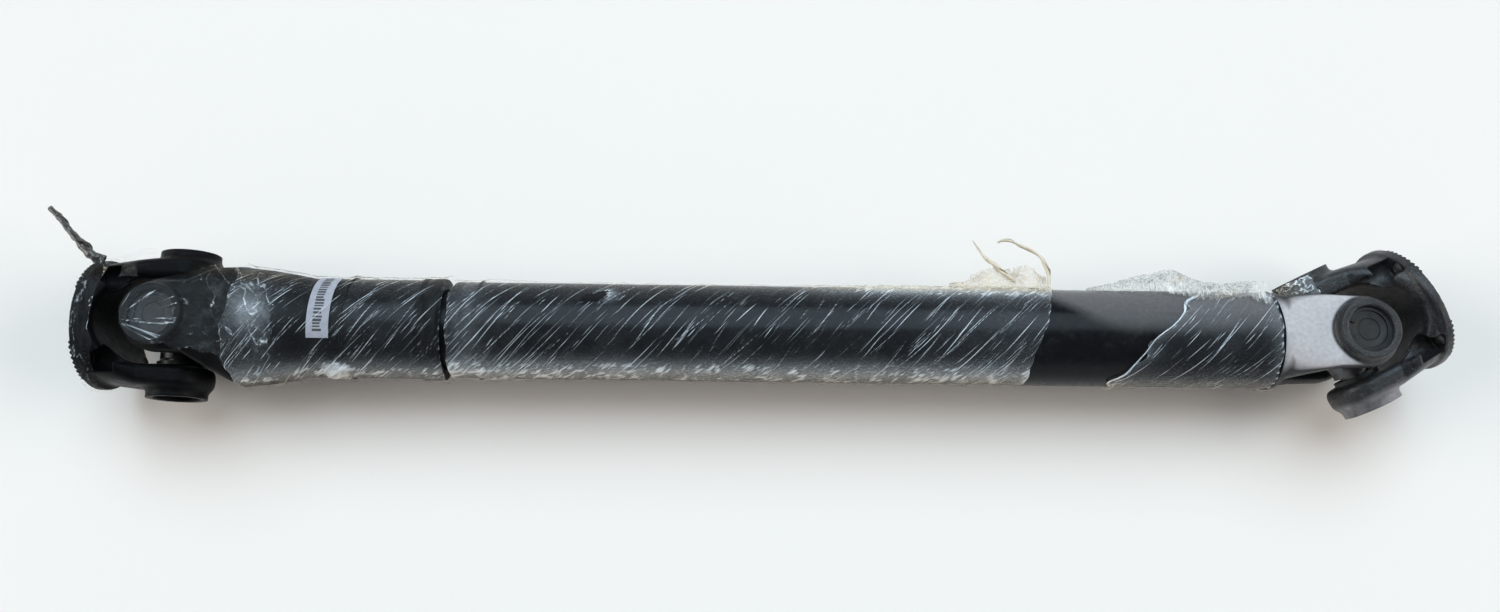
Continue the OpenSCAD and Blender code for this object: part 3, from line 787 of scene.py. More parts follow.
def film_piece(thing, body, node, crease, haze_and_glare, held, rests, length):
    """Finishes a film mesh: what its material reads, its body and the node it stands for; its flat size is
    worked out but not kept.
    """
    mark(thing, "crease", crease)
    mark(thing, "haze_and_glare", haze_and_glare)
    mark(thing, "warm", [warmth(v.co) for v in thing.data.vertices])
    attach(thing, body)
    if node:
        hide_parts(node)
    area_of(thing) / length
    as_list(rests)
    return thing


def streak_field(x, theta, per_radian, rng, count, where, spread, width, height):
    """Tension wrinkles on a sheared grid: their height, and how strongly each point lies on one."""
    rise, crease = np.zeros(x.shape), np.zeros(x.shape)
    step = x[1, 0] - x[0, 0]
    for _ in range(count):
        at = rng.uniform(x.min(), x.max())
        around = rng.uniform(-math.pi, math.pi)
        half = spread[0] + (spread[1] - spread[0]) * rng.random() ** 2
        lean, bend = rng.normal(0.0, 0.14), rng.normal(0.0, 0.05)
        w = width * rng.uniform(0.55, 1.5)
        h = height * rng.uniform(0.35, 1.3)
        strong = 0.2 + 0.8 * rng.random() ** 1.5
        keep = rng.random()
        if keep > where(at, around):
            continue
        turn = np.mod(theta - around + math.pi, TURN) - math.pi
        for j in np.nonzero(np.abs(turn) < half)[0]:
            q = turn[j] / half
            target = at + per_radian * ((1.0 + lean) * turn[j] + bend * turn[j] ** 2)
            centre = (target - x[0, j]) / step
            reach = 3.0 * w / step
            a, b = max(int(centre - reach), 0), min(int(centre + reach) + 2, x.shape[0])
            if a >= b:
                continue
            bell = np.exp(-(((x[a:b, j] - target) / w) ** 2)) * (1 - q * q)
            rise[a:b, j] = np.maximum(rise[a:b, j], h * bell)
            crease[a:b, j] = np.maximum(crease[a:b, j], strong * bell)
    return rise, crease


def wrapping(
    name, key, seed, start, end, radius, count, where, haze_and_glare, hole=None, slope=None, spread=(0.12, 0.9),
    pillow=0.0005, width=1.0, roll=0.5
):
    """Film wound round the shaft, as a grid whose lines follow its wrinkles.

    theta is the angle from the top towards +Y.
    """
    f = bpy.context.scene.film_sizes
    rng = np.random.default_rng(seed)
    rows = 84
    theta = -math.pi + TURN * np.arange(rows) / rows
    first, last = start(theta), end(theta)
    middle = float(radius(np.array((first.min() + last.max()) / 2)))
    per_radian = middle / (slope or f.slope)
    step = f.step * 1.0
    across = round(TURN * per_radian / step)
    step = TURN * per_radian / across
    origin = first.min() - TURN * per_radian
    columns = int((last.max() - origin) / step) + 3
    raw = origin + np.arange(columns)[:, None] * step + per_radian * (theta + math.pi)[None]
    rise, crease = streak_field(
        raw, theta, per_radian, rng, count, where, spread, f.streak_width * width, f.streak_height
    )
    x = np.clip(raw, first, last)
    angle = np.broadcast_to(theta, x.shape)
    turn = (angle + math.pi) / TURN
    puff = 0.5 + 0.5 * lumps(x / 0.03, turn * 12, seed + 1, 3, 12)
    crumple = folds(x / 0.014, turn * 26, seed + 2, 3, 26)
    cloud_and_glare = haze_and_glare(x, angle)
    from_end = np.minimum(x - first, last - x)
    lip = np.exp(-from_end / 0.003)
    r = (
        radius(x) + f.gap + rise + pillow * puff + crumple * cloud_and_glare * 0.004
        + lip * roll * 0.0016 * (0.4 + 0.6 * puff)
    )
    crease = np.maximum(crease, crumple**2 * np.clip(cloud_and_glare * 3.0, 0.0, 0.8))
    crease = np.maximum(crease, lip * roll * (0.5 + 0.5 * np.sin(turn * TURN * 37 + 9 * puff)))
    number = np.arange(x.size).reshape(x.shape)
    lowest, highest = (raw <= first).sum(0) - 1, columns - (raw >= last).sum(0)
    i, j = np.indices(x.shape)
    number = np.where(i < lowest, number[lowest, j], number)
    number = np.where(i > highest, number[np.minimum(highest, columns - 1), j], number)
    a, b = number[:-1, :-1], number[1:, :-1]
    c, d = number[1:, 1:], number[:-1, 1:]
    quads = [np.stack([a, b, c, d], -1).reshape(-1, 4)]
    k = np.arange(columns - across - 1)
    quads.append(
        np.stack([number[k, -1], number[k + 1, -1], number[k + 1 + across, 0], number[k + across, 0]], 1)
    )
    quads = np.concatenate(quads)
    if hole is not None:
        gone = hole(x, angle).ravel()
        quads = quads[~gone[quads].any(1)]
    points = np.stack([x, r * np.sin(angle), r * np.cos(angle)], -1).reshape(-1, 3)
    return film_mesh(name, key, points, quads, crease.ravel(), (cloud_and_glare * (0.6 + 0.4 * puff)).ravel())


def film_mesh(name, key, points, quads, crease, haze_and_glare):
    """A sheet's mesh with the repeated corners and unused points left out, and its crease and haze values."""
    faces = [f for f in (list(dict.fromkeys(q)) for q in quads.tolist()) if len(f) > 2]
    used = np.unique(np.fromiter((q for f in faces for q in f), int))
    number = np.full(len(points), -1)
    number[used] = np.arange(len(used))
    thing = solid(name, points[used], [[int(number[q]) for q in f] for f in faces], key)
    return thing, crease[used], haze_and_glare[used]


def crumpled(name, key, net, count, seed, rough, cells, haze_and_glare, ragged=(0.0, 0.0), fine=0.3, shine=1.0):
    """A torn, crumpled sheet through a net of points, with its two long edges torn away by up to ragged."""
    net = np.asarray(net, float)
    nu, nv = count
    rows = np.stack([spline(row, nv * 2) for row in net])
    surface = spline(rows, nu)
    u = np.linspace(0, 1, nu)[:, None] * np.ones((1, nv))
    v = np.linspace(0, 1, nv)[None] * np.ones((nu, 1))
    tear = [
        np.abs(lumps(u * cells[0] * 1.7, np.full_like(u, k * 9.0), seed + 5 + k, 5, gain=0.65))
        for k in (0, 1)
    ]
    low, high = ragged[0] * tear[0], 1.0 - ragged[1] * tear[1]
    w = (low + (high - low) * v) * (nv * 2 - 1)
    i = np.clip(np.floor(w).astype(int), 0, nv * 2 - 2)
    f = (w - i)[..., None]
    rows = np.arange(nu)[:, None]
    place = surface[rows, i] * (1 - f) + surface[rows, i + 1] * f
    du, dv = np.gradient(place, axis=0), np.gradient(place, axis=1)
    normal = np.cross(du, dv)
    normal /= np.maximum(np.linalg.norm(normal, axis=2, keepdims=True), 1e-12)
    big = lumps(u * cells[0] * 0.5, v * cells[1] * 0.5, seed, 2)
    sharp = folds(u * cells[0], v * cells[1], seed + 1, 3)
    hair = folds(u * cells[0] * 3, v * cells[1] * 3, seed + 2, 2)
    place = place + normal * (rough * (big + 0.9 * sharp + fine * hair))[..., None]
    crease = np.clip((0.8 * sharp**4 + 0.5 * hair**5) * shine, 0, 1)
    cloud_and_glare = haze_and_glare * (0.55 + 0.45 * lumps(u * 3, v * 3, seed + 3, 3) + 0.3 * sharp)
    quads = grid_faces(nu, nv)
    return film_mesh(name, key, place.reshape(-1, 3), quads, crease.ravel(), np.clip(cloud_and_glare, 0, 1).ravel())


def strand(name, key, path, widths, rolls, twist, seed, count=90, cloud_and_glare=0.5):
    """A strip of film rolled up and twisted along a path, with its rolled radius at the path's points."""
    line = spline(path, count)
    radius = spline(np.asarray(widths, float)[:, None], count)[:, 0]
    ahead = np.gradient(line, axis=0)
    ahead /= np.linalg.norm(ahead, axis=1, keepdims=True)
    side = np.cross(ahead, [0.0, 0.0, 1.0])
    side /= np.linalg.norm(side, axis=1, keepdims=True)
    up = np.cross(side, ahead)
    n = 40
    s = np.linspace(0, 1, n)[None]
    t = np.linspace(0, 1, count)[:, None]
    knots = (
        0.75 + 0.35 * lumps(t * 9 + 0 * s, s * 2, seed, 3)
        + 0.18 * folds(t * 6 + s * 2, s * 5 + t * 9, seed + 1)
    )
    r = radius[:, None] * (0.3 + 0.7 * s) * knots
    a = TURN * (rolls * s + twist * t) + 0.8 * lumps(t * 5 + 0 * s, s * 3, seed + 2)
    place = (
        line[:, None] + (r * np.cos(a))[..., None] * side[:, None]
        + (r * np.sin(a))[..., None] * up[:, None]
    )
    crease = folds(t * 7 + s * 3, s * 9, seed + 3)
    return film_mesh(
        name, key, place.reshape(-1, 3), grid_faces(count, n), crease.ravel(), np.full(crease.size, cloud_and_glare)
    )


# Operators: one for each piece or group of like pieces


class SHAFT_OT_flange_yokes(bpy.types.Operator):
    """Builds the two toothed flange yokes as smooth forgings"""

    bl_idname = "shaft.flange_yokes"
    bl_label = "Flange yokes"

    def execute(self, context):
        s = sizes()
        face, r, top = s["face_to_joint"], s["flange_radius"], s["ear_face"]
        low, high = (-face, -r, -top), (s["ear_radius"], r, top)
        first = forged("yoke_flange_a", flange_yoke_field, low, high, "forged_paint")
        second = bpy.data.objects.new("yoke_flange_b", first.data.copy())
        context.scene.collection.objects.link(second)
        second.data.materials[0] = finish("dusty_paint")
        for yoke, place, body, node in (
            (first, FRAME_FLANGE_A, "flange_a", "flange_yoke_a"),
            (second, FRAME_FLANGE_B, "flange_b", "flange_yoke_b"),
        ):
            yoke.data.transform(place)
            if yoke is second:
                outward = np.array(place.col[2][:3]) * (-1.0 if place.col[2][1] > 0 else 1.0)
                spots = np.array([v.co for v in yoke.data.vertices]) - np.array(JOINT_B)
                worn = (
                    np.clip((spots @ outward - 0.066) / 0.006, 0, 1)
                    * (0.5 + 0.5 * lumps(spots[:, 0] / 0.012, spots[:, 2] / 0.012 + 20, 141, 3))
                )
                mark(yoke, "wear_dust_and_sheen", 0.45 * np.clip(worn, 0, 1))
            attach(yoke, body)
            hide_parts(node)
        return {"FINISHED"}


class SHAFT_OT_slip_yoke(bpy.types.Operator):
    """Builds the slip yoke with its hub and splined stub"""

    bl_idname = "shaft.slip_yoke"
    bl_label = "Slip yoke"

    def execute(self, context):
        s = sizes()
        yoke = forged(
            "yoke_sliding", slip_yoke_field, (-215.0, -70.0, -s["ear_face"]),
            (s["ear_radius"], 70.0, s["ear_face"]), "forged_paint"
        )
        yoke.data.transform(FRAME_SLIP_YOKE)
        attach(yoke, "sliding_end")
        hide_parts("slip_yoke")
        low, high = JOINT_A.x + 0.109, JOINT_A.x + 0.299
        stub = splined("splined_stub", low, high, 0.0275, 0.031, 0.0024, "steel")
        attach(stub, "sliding_end")
        return {"FINISHED"}


def tooth_ring(root, tip, half):
    """The spline's outline as (y, z) points in order round the shaft."""
    ring = []
    for k in range(16):
        a = TURN * k / 16
        for r, w in (
            (root, -half - 0.0008), (tip, 0.0006 - half), (tip, half - 0.0006), (root, half + 0.0008)
        ):
            ring.append((r * math.cos(a) - w * math.sin(a), r * math.sin(a) + w * math.cos(a)))
    return np.array(ring)


def splined(name, low, high, root, tip, half, key):
    """A solid splined bar along X."""
    ring = tooth_ring(root, tip, half)
    n = len(ring)
    points = [
        np.column_stack([np.full(n, x), ring * k])
        for x, k in ((low, 1.0), (high - 0.002, 1.0), (high, 0.94))
    ]
    faces = grid_faces(3, n, closed=True).tolist() + [list(range(n - 1, -1, -1)), list(range(2 * n, 3 * n))]
    bar = solid(name, np.concatenate(points), faces, key)
    tidy(bar)
    return sharpen(bar)


class SHAFT_OT_tube_fork(bpy.types.Operator):
    """Builds the fork welded to the tube's far end"""

    bl_idname = "shaft.tube_fork"
    bl_label = "Tube fork"

    def execute(self, context):
        s = sizes()
        fork = forged(
            "fork_on_tube", tube_fork_field, (-100.0, -57.0, -s["ear_face"]),
            (s["ear_radius"], 57.0, s["ear_face"]), "dusty_paint"
        )
        spots = np.array([v.co for v in fork.data.vertices])
        normals = np.array([v.normal for v in fork.data.vertices])
        away = np.hypot(spots[:, 0], spots[:, 1])
        # A painted highlight: the sloping flank of each ear towards the tube is painted pale, as the overhead
        # light's glare on the satin paint.
        ramp = (
            np.clip((away - 0.0375) / 0.002, 0, 1) * np.clip((normals[:, 2] - 0.55) / 0.2, 0, 1)
            * np.clip(-spots[:, 0] / 0.02, 0, 1)
        )
        mark(fork, "wear_dust_and_sheen", ramp * np.clip((spots[:, 2] - 0.03) / 0.02, 0, 1))
        fork.data.transform(FRAME_FORK_B)
        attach(fork, "tube")
        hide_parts("tube_fork")
        return {"FINISHED"}


class SHAFT_OT_tubes(bpy.types.Operator):
    """Builds the drawn tubes, the sleeve, the collar and the weld beads as turned parts"""

    bl_idname = "shaft.tubes"
    bl_label = "Tubes"

    def execute(self, context):
        r, inner = TUBE_HIGH.z, TUBE_HIGH.z - 0.005
        x0, x1 = TUBE_LOW.x, TUBE_HIGH.x
        stations = np.linspace(x0, x1, 90)
        outside = [(x, r + 0.00012 * math.sin(37 * x) * (x0 + 0.01 < x < x1 - 0.01)) for x in stations]
        tube = turned("tube_main", outside + [(x1, inner), (x0, inner)], "tube_paint")
        spots = np.array([v.co for v in tube.data.vertices])
        # A painted reflection: a grey sheen over the upper half of the tube's far end.
        sheen = (
            np.clip((spots[:, 0] - 1.150 + 1.75 * spots[:, 1]) / 0.03, 0, 1)
            * np.clip((spots[:, 1] + 0.006) / 0.03, 0, 1)
        )
        # A pale band along the tube's +Y edge: partly dust and partly a painted reflection at the grazing
        # edge.
        dust_and_sheen_edge = np.clip((spots[:, 1] - 0.043) / 0.008, 0, 1)
        mark(
            tube,
            "wear_dust_and_sheen",
            np.maximum(0.22 * sheen, 0.30 * dust_and_sheen_edge) * (spots[:, 2] > 0) * (spots[:, 0] > 1.0),
        )
        d0, d1, dr = DUST_LOW.x, DUST_HIGH.x, DUST_HIGH.z
        dust = turned(
            "tube_over_splines", [(d0, dr), (d1, dr), (d1, dr - 0.003), (d0, dr - 0.003)], "tube_paint"
        )
        c0, c1, cr = COLLAR_LOW.x, COLLAR_HIGH.x, COLLAR_HIGH.z
        lip = [
            (c0, dr), (c0, cr - 0.0006), (c0 + 0.0006, cr), (c0 + 0.006, cr), (c0 + 0.0072, cr - 0.0007),
            (c0 + 0.0086, cr - 0.0007)
        ]
        lip += [
            (c0 + 0.0098, cr), (c1 - 0.0018, cr), (c1 - 0.0006, cr - 0.0006), (c1, cr - 0.002), (c1, 0.047),
            (c1 - 0.003, 0.047), (c1 - 0.003, dr)
        ]
        collar = turned("collar_crimped", lip, "forged_paint")
        n0, n1 = x0 - 0.03, x0
        s0 = SLEEVE_LOW.x
        shape = [
            (s0, 0.0292), (s0 + 0.0015, 0.0445), (s0 + 0.002, 0.045), (n0, 0.045), (n0, r - 0.002),
            (n0 + 0.0006, r - 0.0006)
        ]
        shape += [
            (n0 + 0.002, r), (n0 + 0.010, r), (n0 + 0.0112, r - 0.0006), (n0 + 0.0128, r - 0.0006),
            (n0 + 0.014, r), (n1, r), (n1, inner), (SLEEVE_HIGH.x, inner), (SLEEVE_HIGH.x, 0.0292)
        ]
        sleeve = turned("sleeve_neck", shape, "tube_paint")
        for thing, body, node, slot in (
            (tube, "tube", "main_tube", "black_paint"),
            (dust, "sliding_end", "dust_tube", "black_paint"),
            (collar, "sliding_end", "seal_collar", "black_paint"),
            (sleeve, "tube", "spline_sleeve", "forged_steel"),
        ):
            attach(thing, body)
            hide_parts(node)
        for name, places, body, node in (
            ("beads_on_tube", [(x0, r), (x1, r)], "tube", "tube_welds"),
            ("bead_on_dust_tube", [(d0, dr)], "sliding_end", "dust_tube_weld"),
        ):
            weld = beads(name, places)
            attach(weld, body)
            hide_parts(node)
        return {"FINISHED"}


def beads(name, places):
    """Weld beads round the shaft, with the overlapping scales that a torch leaves."""
    points, faces = [], []
    n, m = 480, 9
    a = np.arange(n) * TURN / n
    rng = np.random.default_rng(11)
    for x, r in places:
        phase = np.cumsum(rng.uniform(0.85, 1.15, n)) * TURN * 95 / n
        scale = 0.8 + 0.2 * np.abs(np.sin(phase / 2))
        wander = 0.00015 * np.sin(a * 7 + x * 40)
        start = sum(len(p) for p in points)
        ring = []
        for k in range(m):
            b = math.pi * k / (m - 1)
            height = 0.0021 * math.sin(b) * scale
            along = x + wander - 0.0021 * math.cos(b)
            ring.append(
                np.stack([along, (r - 0.0004 + height) * np.cos(a), (r - 0.0004 + height) * np.sin(a)], 1)
            )
        ring.append(np.stack([np.full(n, x), (r - 0.002) * np.cos(a), (r - 0.002) * np.sin(a)], 1))
        points.append(np.concatenate(ring))
        loop = grid_faces(m + 2, n, closed=True) % ((m + 1) * n)
        faces += (loop + start).tolist()
    thing = solid(name, np.concatenate(points), faces, "forged_paint")
    tidy(thing)
    return thing


class SHAFT_OT_bearings(bpy.types.Operator):
    """Builds the bearing cups and circlips, and finishes the parts inside the joints"""

    bl_idname = "shaft.bearings"
    bl_label = "Bearings"

    def execute(self, context):
        places = {
            "flange_ear_{}_a": (FRAME_FLANGE_A, "flange_a"),
            "shaft_ear_{}_a": (FRAME_SLIP_YOKE, "sliding_end"),
            "flange_ear_{}_b": (FRAME_FLANGE_B, "flange_b"),
            "shaft_ear_{}_b": (FRAME_FORK_B, "tube"),
        }
        r, end = 0.025, 0.0775
        section = [
            (end - 0.034, r), (end - 0.034, 0.0205), (end - 0.005, 0.0205), (end - 0.005, 0.0),
            (end - 0.0012, 0.0), (end - 0.0008, 0.0113)
        ]
        section += [
            (end - 0.0012, 0.0117), (end - 0.0012, 0.0123), (end - 0.0004, 0.0128), (end - 0.0001, 0.0175),
            (end, 0.0182), (end, 0.0236), (end - 0.0004, 0.0246), (end - 0.0012, r)
        ]
        for pattern, (place, body) in places.items():
            upright = Matrix.Rotation(-math.pi / 2, 4, "Y")
            pair = [
                turned(
                    "cup",
                    section,
                    "oiled",
                    segments=96,
                    transform=place @ Matrix.Rotation(math.pi * k, 4, "X") @ upright,
                )
                for k in (0, 1)
            ]
            cups = joined(pattern.format("cup_pair"), pair)
            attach(cups, body)
            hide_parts(pattern.format("cups"))
            rings = [circlip(place @ Matrix.Rotation(math.pi * k, 4, "X"), end) for k in (0, 1)]
            clips = joined(pattern.format("circlip_pair"), rings)
            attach(clips, body)
            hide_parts(pattern.format("circlips"))
        # The parts inside the joints take the dark steel: oiled, and darkened further as painted shade.
        kept = {
            "steel": ["cross_", "dust_shields_", "grease_nipple_", "needles_", "sleeve_plug"],
            "rubber": ["seals_", "wiper_seal"],
            "forged_paint": ["balance_weights"],
        }
        for key, words in kept.items():
            for node, thing in frame["nodes"].items():
                if any(word in node for word in words):
                    thing.data.materials.clear()
                    thing.data.materials.append(finish(key))
        return {"FINISHED"}


def joined(name, things):
    """One object from several, with its points in the shaft's frame."""
    points, faces, start = [], [], 0
    for thing in things:
        points.append(np.array([v.co for v in thing.data.vertices]))
        faces += [[start + q for q in p.vertices] for p in thing.data.polygons]
        start += len(thing.data.vertices)
    material = things[0].data.materials[0]
    for thing in things:
        bpy.data.objects.remove(thing)
    whole = solid(name, np.concatenate(points), faces)
    whole.data.materials.append(material)
    return sharpen(whole)


def circlip(place, height):
    """An internal circlip with round-cornered edges and an eye at each end, open towards the yoke's base."""
    n, thick, gap = 120, 0.002, math.radians(22)
    a = np.linspace(-math.pi + gap, math.pi - gap, n)
    lug = np.exp(-(((np.abs(a) - (math.pi - gap - 0.10)) / 0.16) ** 4))
    outer = np.full(n, 0.0262)
    inner = 0.0216 - 0.0012 * (1 - np.abs(a) / math.pi) - 0.0042 * lug
    flat = 0.00025
    section = [
        (outer, 0.0), (outer, thick - flat), (outer - flat, thick), (inner + flat, thick),
        (inner, thick - flat), (inner, 0.0)
    ]
    rings = [np.stack([r * np.cos(a), r * np.sin(a), np.full(n, height + h)], 1) for r, h in section]
    m = len(rings)
    points = np.stack(rings, 1).reshape(-1, 3)
    faces = grid_faces(n, m, closed=True).tolist() + [list(range(m)), list(range((n - 1) * m, n * m))[::-1]]
    ring = solid("circlip", points, faces, "oiled")
    ring.data.transform(place)
    tidy(ring)
    eyes = []
    for side in (-1, 1):
        at = side * (math.pi - gap - 0.085)
        shape = [
            (height + thick, 0.0011), (height + thick + 0.00015, 0.0013),
            (height + thick + 0.00015, 0.0019), (height + thick, 0.0021)
        ]
        upright = Matrix.Translation((0.0196 * math.cos(at), 0.0196 * math.sin(at), 0)) @ Matrix.Rotation(
            -math.pi / 2, 4, "Y"
        )
        eyes.append(turned("eye", shape, "oiled", segments=24, transform=place @ upright))
    return joined("circlip", [ring, *eyes])


class SHAFT_OT_label(bpy.types.Operator):
    """Builds the curved paper label with plain bars in place of print"""

    bl_idname = "shaft.label"
    bl_label = "Label"

    def execute(self, context):
        low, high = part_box("paper_label")
        r, x0, x1 = 0.05845, low.x, high.x
        a0, a1 = math.radians(-21), math.radians(72)
        n, m = 60, 12
        a = np.linspace(a0, a1, n)[:, None]
        x = np.linspace(x0, x1, m)[None]
        lift = 0.0003 + 0.0002 * lumps(x / 0.01 + 0 * a, a * 6 + 20, 3, 3)
        top = np.stack([x + 0 * a, (r + lift) * np.sin(a), (r + lift) * np.cos(a)], -1).reshape(-1, 3)
        under = np.stack([x + 0 * a, r * np.sin(a) + 0 * x, r * np.cos(a) + 0 * x], -1).reshape(-1, 3)
        faces = grid_faces(n, m)
        rim = (
            [i * m for i in range(n)] + [(n - 1) * m + j for j in range(1, m)]
            + [i * m + m - 1 for i in range(n - 2, -1, -1)] + list(range(m - 2, 0, -1))
        )
        back = n * m
        side = [[rim[k], rim[k - 1], rim[k - 1] + back, rim[k] + back] for k in range(len(rim))]
        made = faces[:, ::-1].tolist() + (faces + back).tolist() + side
        label = solid("label_blank", np.concatenate([top, under]), made, "paper")
        tidy(label)
        sharpen(label)
        rng = np.random.default_rng(5)
        points, quads = [], []
        at = a0 + 0.13
        middle, half = (x0 + x1) / 2, 0.0052
        while at < a1 - 0.16:
            wide = rng.uniform(0.018, 0.05)
            for low_x, high_x in ((middle - half, middle + half * rng.uniform(0.55, 1.0)),):
                steps = np.linspace(at, at + wide, 4)
                start = len(points)
                for q in steps:
                    points += [
                        (p, (r + 0.00058) * math.sin(q), (r + 0.00058) * math.cos(q))
                        for p in (low_x, high_x)
                    ]
                quads += [
                    [start + 2 * k, start + 2 * k + 1, start + 2 * k + 3, start + 2 * k + 2]
                    for k in range(3)
                ]
            at += wide + rng.uniform(0.02, 0.045)
        bars = solid("label_bars", points, quads, "ink")
        for thing in (label, bars):
            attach(thing, "sliding_end")
        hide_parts("paper_label")
        return {"FINISHED"}


class SHAFT_OT_film_on_tube(bpy.types.Operator):
    """Wraps stretch film round the neck and the main tube, torn open at one place"""

    bl_idname = "shaft.film_on_tube"
    bl_label = "Film on the tube"

    def execute(self, context):
        x0 = TUBE_LOW.x - 0.0305

        def end(theta):
            return 1.084 + 0.019 * np.sin(theta) + 0.0015 * np.sin(
                5 * theta + 1
            ) + 0.0008 * np.sin(17 * theta)

        def where(x, theta):
            dense = np.interp(x, [x0, 0.46, 0.50, 0.88, 0.95, 1.08], [1.0, 0.9, 0.55, 0.5, 0.9, 1.0])
            return dense * (0.75 + 0.25 * math.cos(2 * theta))

        def haze_and_glare(x, theta):
            # neck is a painted glare band on the film over the neck, and the two edge_glow terms are painted
            # reflections along the film's lower and upper edges.
            neck = np.exp(-(((x - 0.434) / 0.017) ** 2)) * 0.07 * (1 + np.cos(theta + 0.3)) / 2
            rear = np.clip((x - 0.93) / 0.15, 0, 1) * 0.03 + edge_glow(theta, -1.12, 0.28) * 0.42
            rear = rear + edge_glow(theta, 1.12, 0.26) * np.interp(x, [0.5, 0.80, 0.92], [0.03, 0.10, 0.80])
            tear = np.exp(-(((x - 0.590) / 0.010) ** 2) - ((theta - 0.66) / 0.14) ** 2) * 0.45
            return (
                0.002 + neck + rear + tear
                + 0.012 * np.clip(lumps(x / 0.05, (theta + math.pi) / TURN * 8, 9, 4, 8), 0, 1)
            )

        def hole(x, theta):
            across, along = (theta - 0.56) * 0.057, x - 0.577
            ragged = 0.0022 * np.sin(along * 900) + 0.0014 * np.sin(along * 2300)
            return (
                (np.abs(along) < 0.0125) & (across - 0.25 * along < 0.0058 + ragged)
                & (across - 0.25 * along > -0.0038 + ragged)
            )

        def radius(x):
            return np.interp(
                x,
                [x0, 0.444, 0.449, 0.459, 0.50, 0.577, 1.1],
                [0.0562, 0.0570, 0.0585, 0.0584, 0.0571, 0.0563, 0.0562],
            )

        sheet = wrapping(
            "film_tube", "film", 21, lambda t: x0 + 0.0008 * np.sin(9 * t), end, radius, 6600, where, haze_and_glare,
            hole=hole
        )
        film_piece(*sheet_for(sheet, "tube", "film_on_tube", "stretched", ["tube_main"], 0.67))
        return {"FINISHED"}


def edge_glow(theta, centre, width):
    """How strongly the film catches light reflected up by the floor, at that angle round the shaft."""
    return np.exp(-(((theta - centre) / width) ** 2))


def sheet_for(made, body, node, held, rests, length):
    """The arguments film_piece takes, from what a film builder returns."""
    thing, crease, haze_and_glare = made
    return thing, body, node, crease, haze_and_glare, held, rests, length


class SHAFT_OT_film_on_tube_end(bpy.types.Operator):
    """Wraps the second length of film, from its torn slanting edge to the fork's weld"""

    bl_idname = "shaft.film_on_tube_end"
    bl_label = "Film on the tube's end"

    def execute(self, context):
        def start(theta):
            return (
                1.221 + 0.055 * np.sin(theta) + 0.004 * np.sin(7 * theta) + 0.003 * np.sin(13 * theta + 2)
                + 0.0015 * np.sin(31 * theta)
            )

        def where(x, theta):
            return 0.75

        def haze_and_glare(x, theta):
            # The edge_glow term is a painted reflection of the floor along the film's lower edge.
            edge = np.exp(-np.abs(x - start(theta)) / 0.008) * 0.10
            weld = np.exp(-(((x - 1.349) / 0.010) ** 2)) * 0.05
            return (
                0.01 + edge + weld + 0.16 * edge_glow(theta, -1.25, 0.22)
                + 0.03 * np.clip(lumps(x / 0.04, (theta + math.pi) / TURN * 8, 19, 4, 8), 0, 1)
            )

        def radius(x):
            return np.interp(x, [1.15, 1.33, 1.345, 1.352], [0.0563, 0.0566, 0.0578, 0.0584])

        sheet = wrapping(
            "film_tube_end", "film", 23, start, lambda t: 1.3495 + 0.0008 * np.sin(11 * t), radius, 1900,
            where, haze_and_glare, roll=0.7, spread=(0.15, 0.8), pillow=0.0009
        )
        film_piece(*sheet_for(sheet, "tube", "film_on_tube_end", "stretched", ["tube_main"], 0.13))
        path = [
            (start(a) - 0.001, 0.0585 * math.sin(a), 0.0585 * math.cos(a))
            for a in np.linspace(1.15, -1.75, 12)
        ]
        made = strand(
            "film_torn_edge",
            "film",
            path,
            [0.0014, 0.0021, 0.0011, 0.0010, 0.0016, 0.0010],
            3.0,
            9.0,
            71,
            count=170,
            cloud_and_glare=0.12,
        )
        film_piece(*sheet_for(made, "tube", None, "gathered", ["film_tube_end"], 0.19))
        return {"FINISHED"}


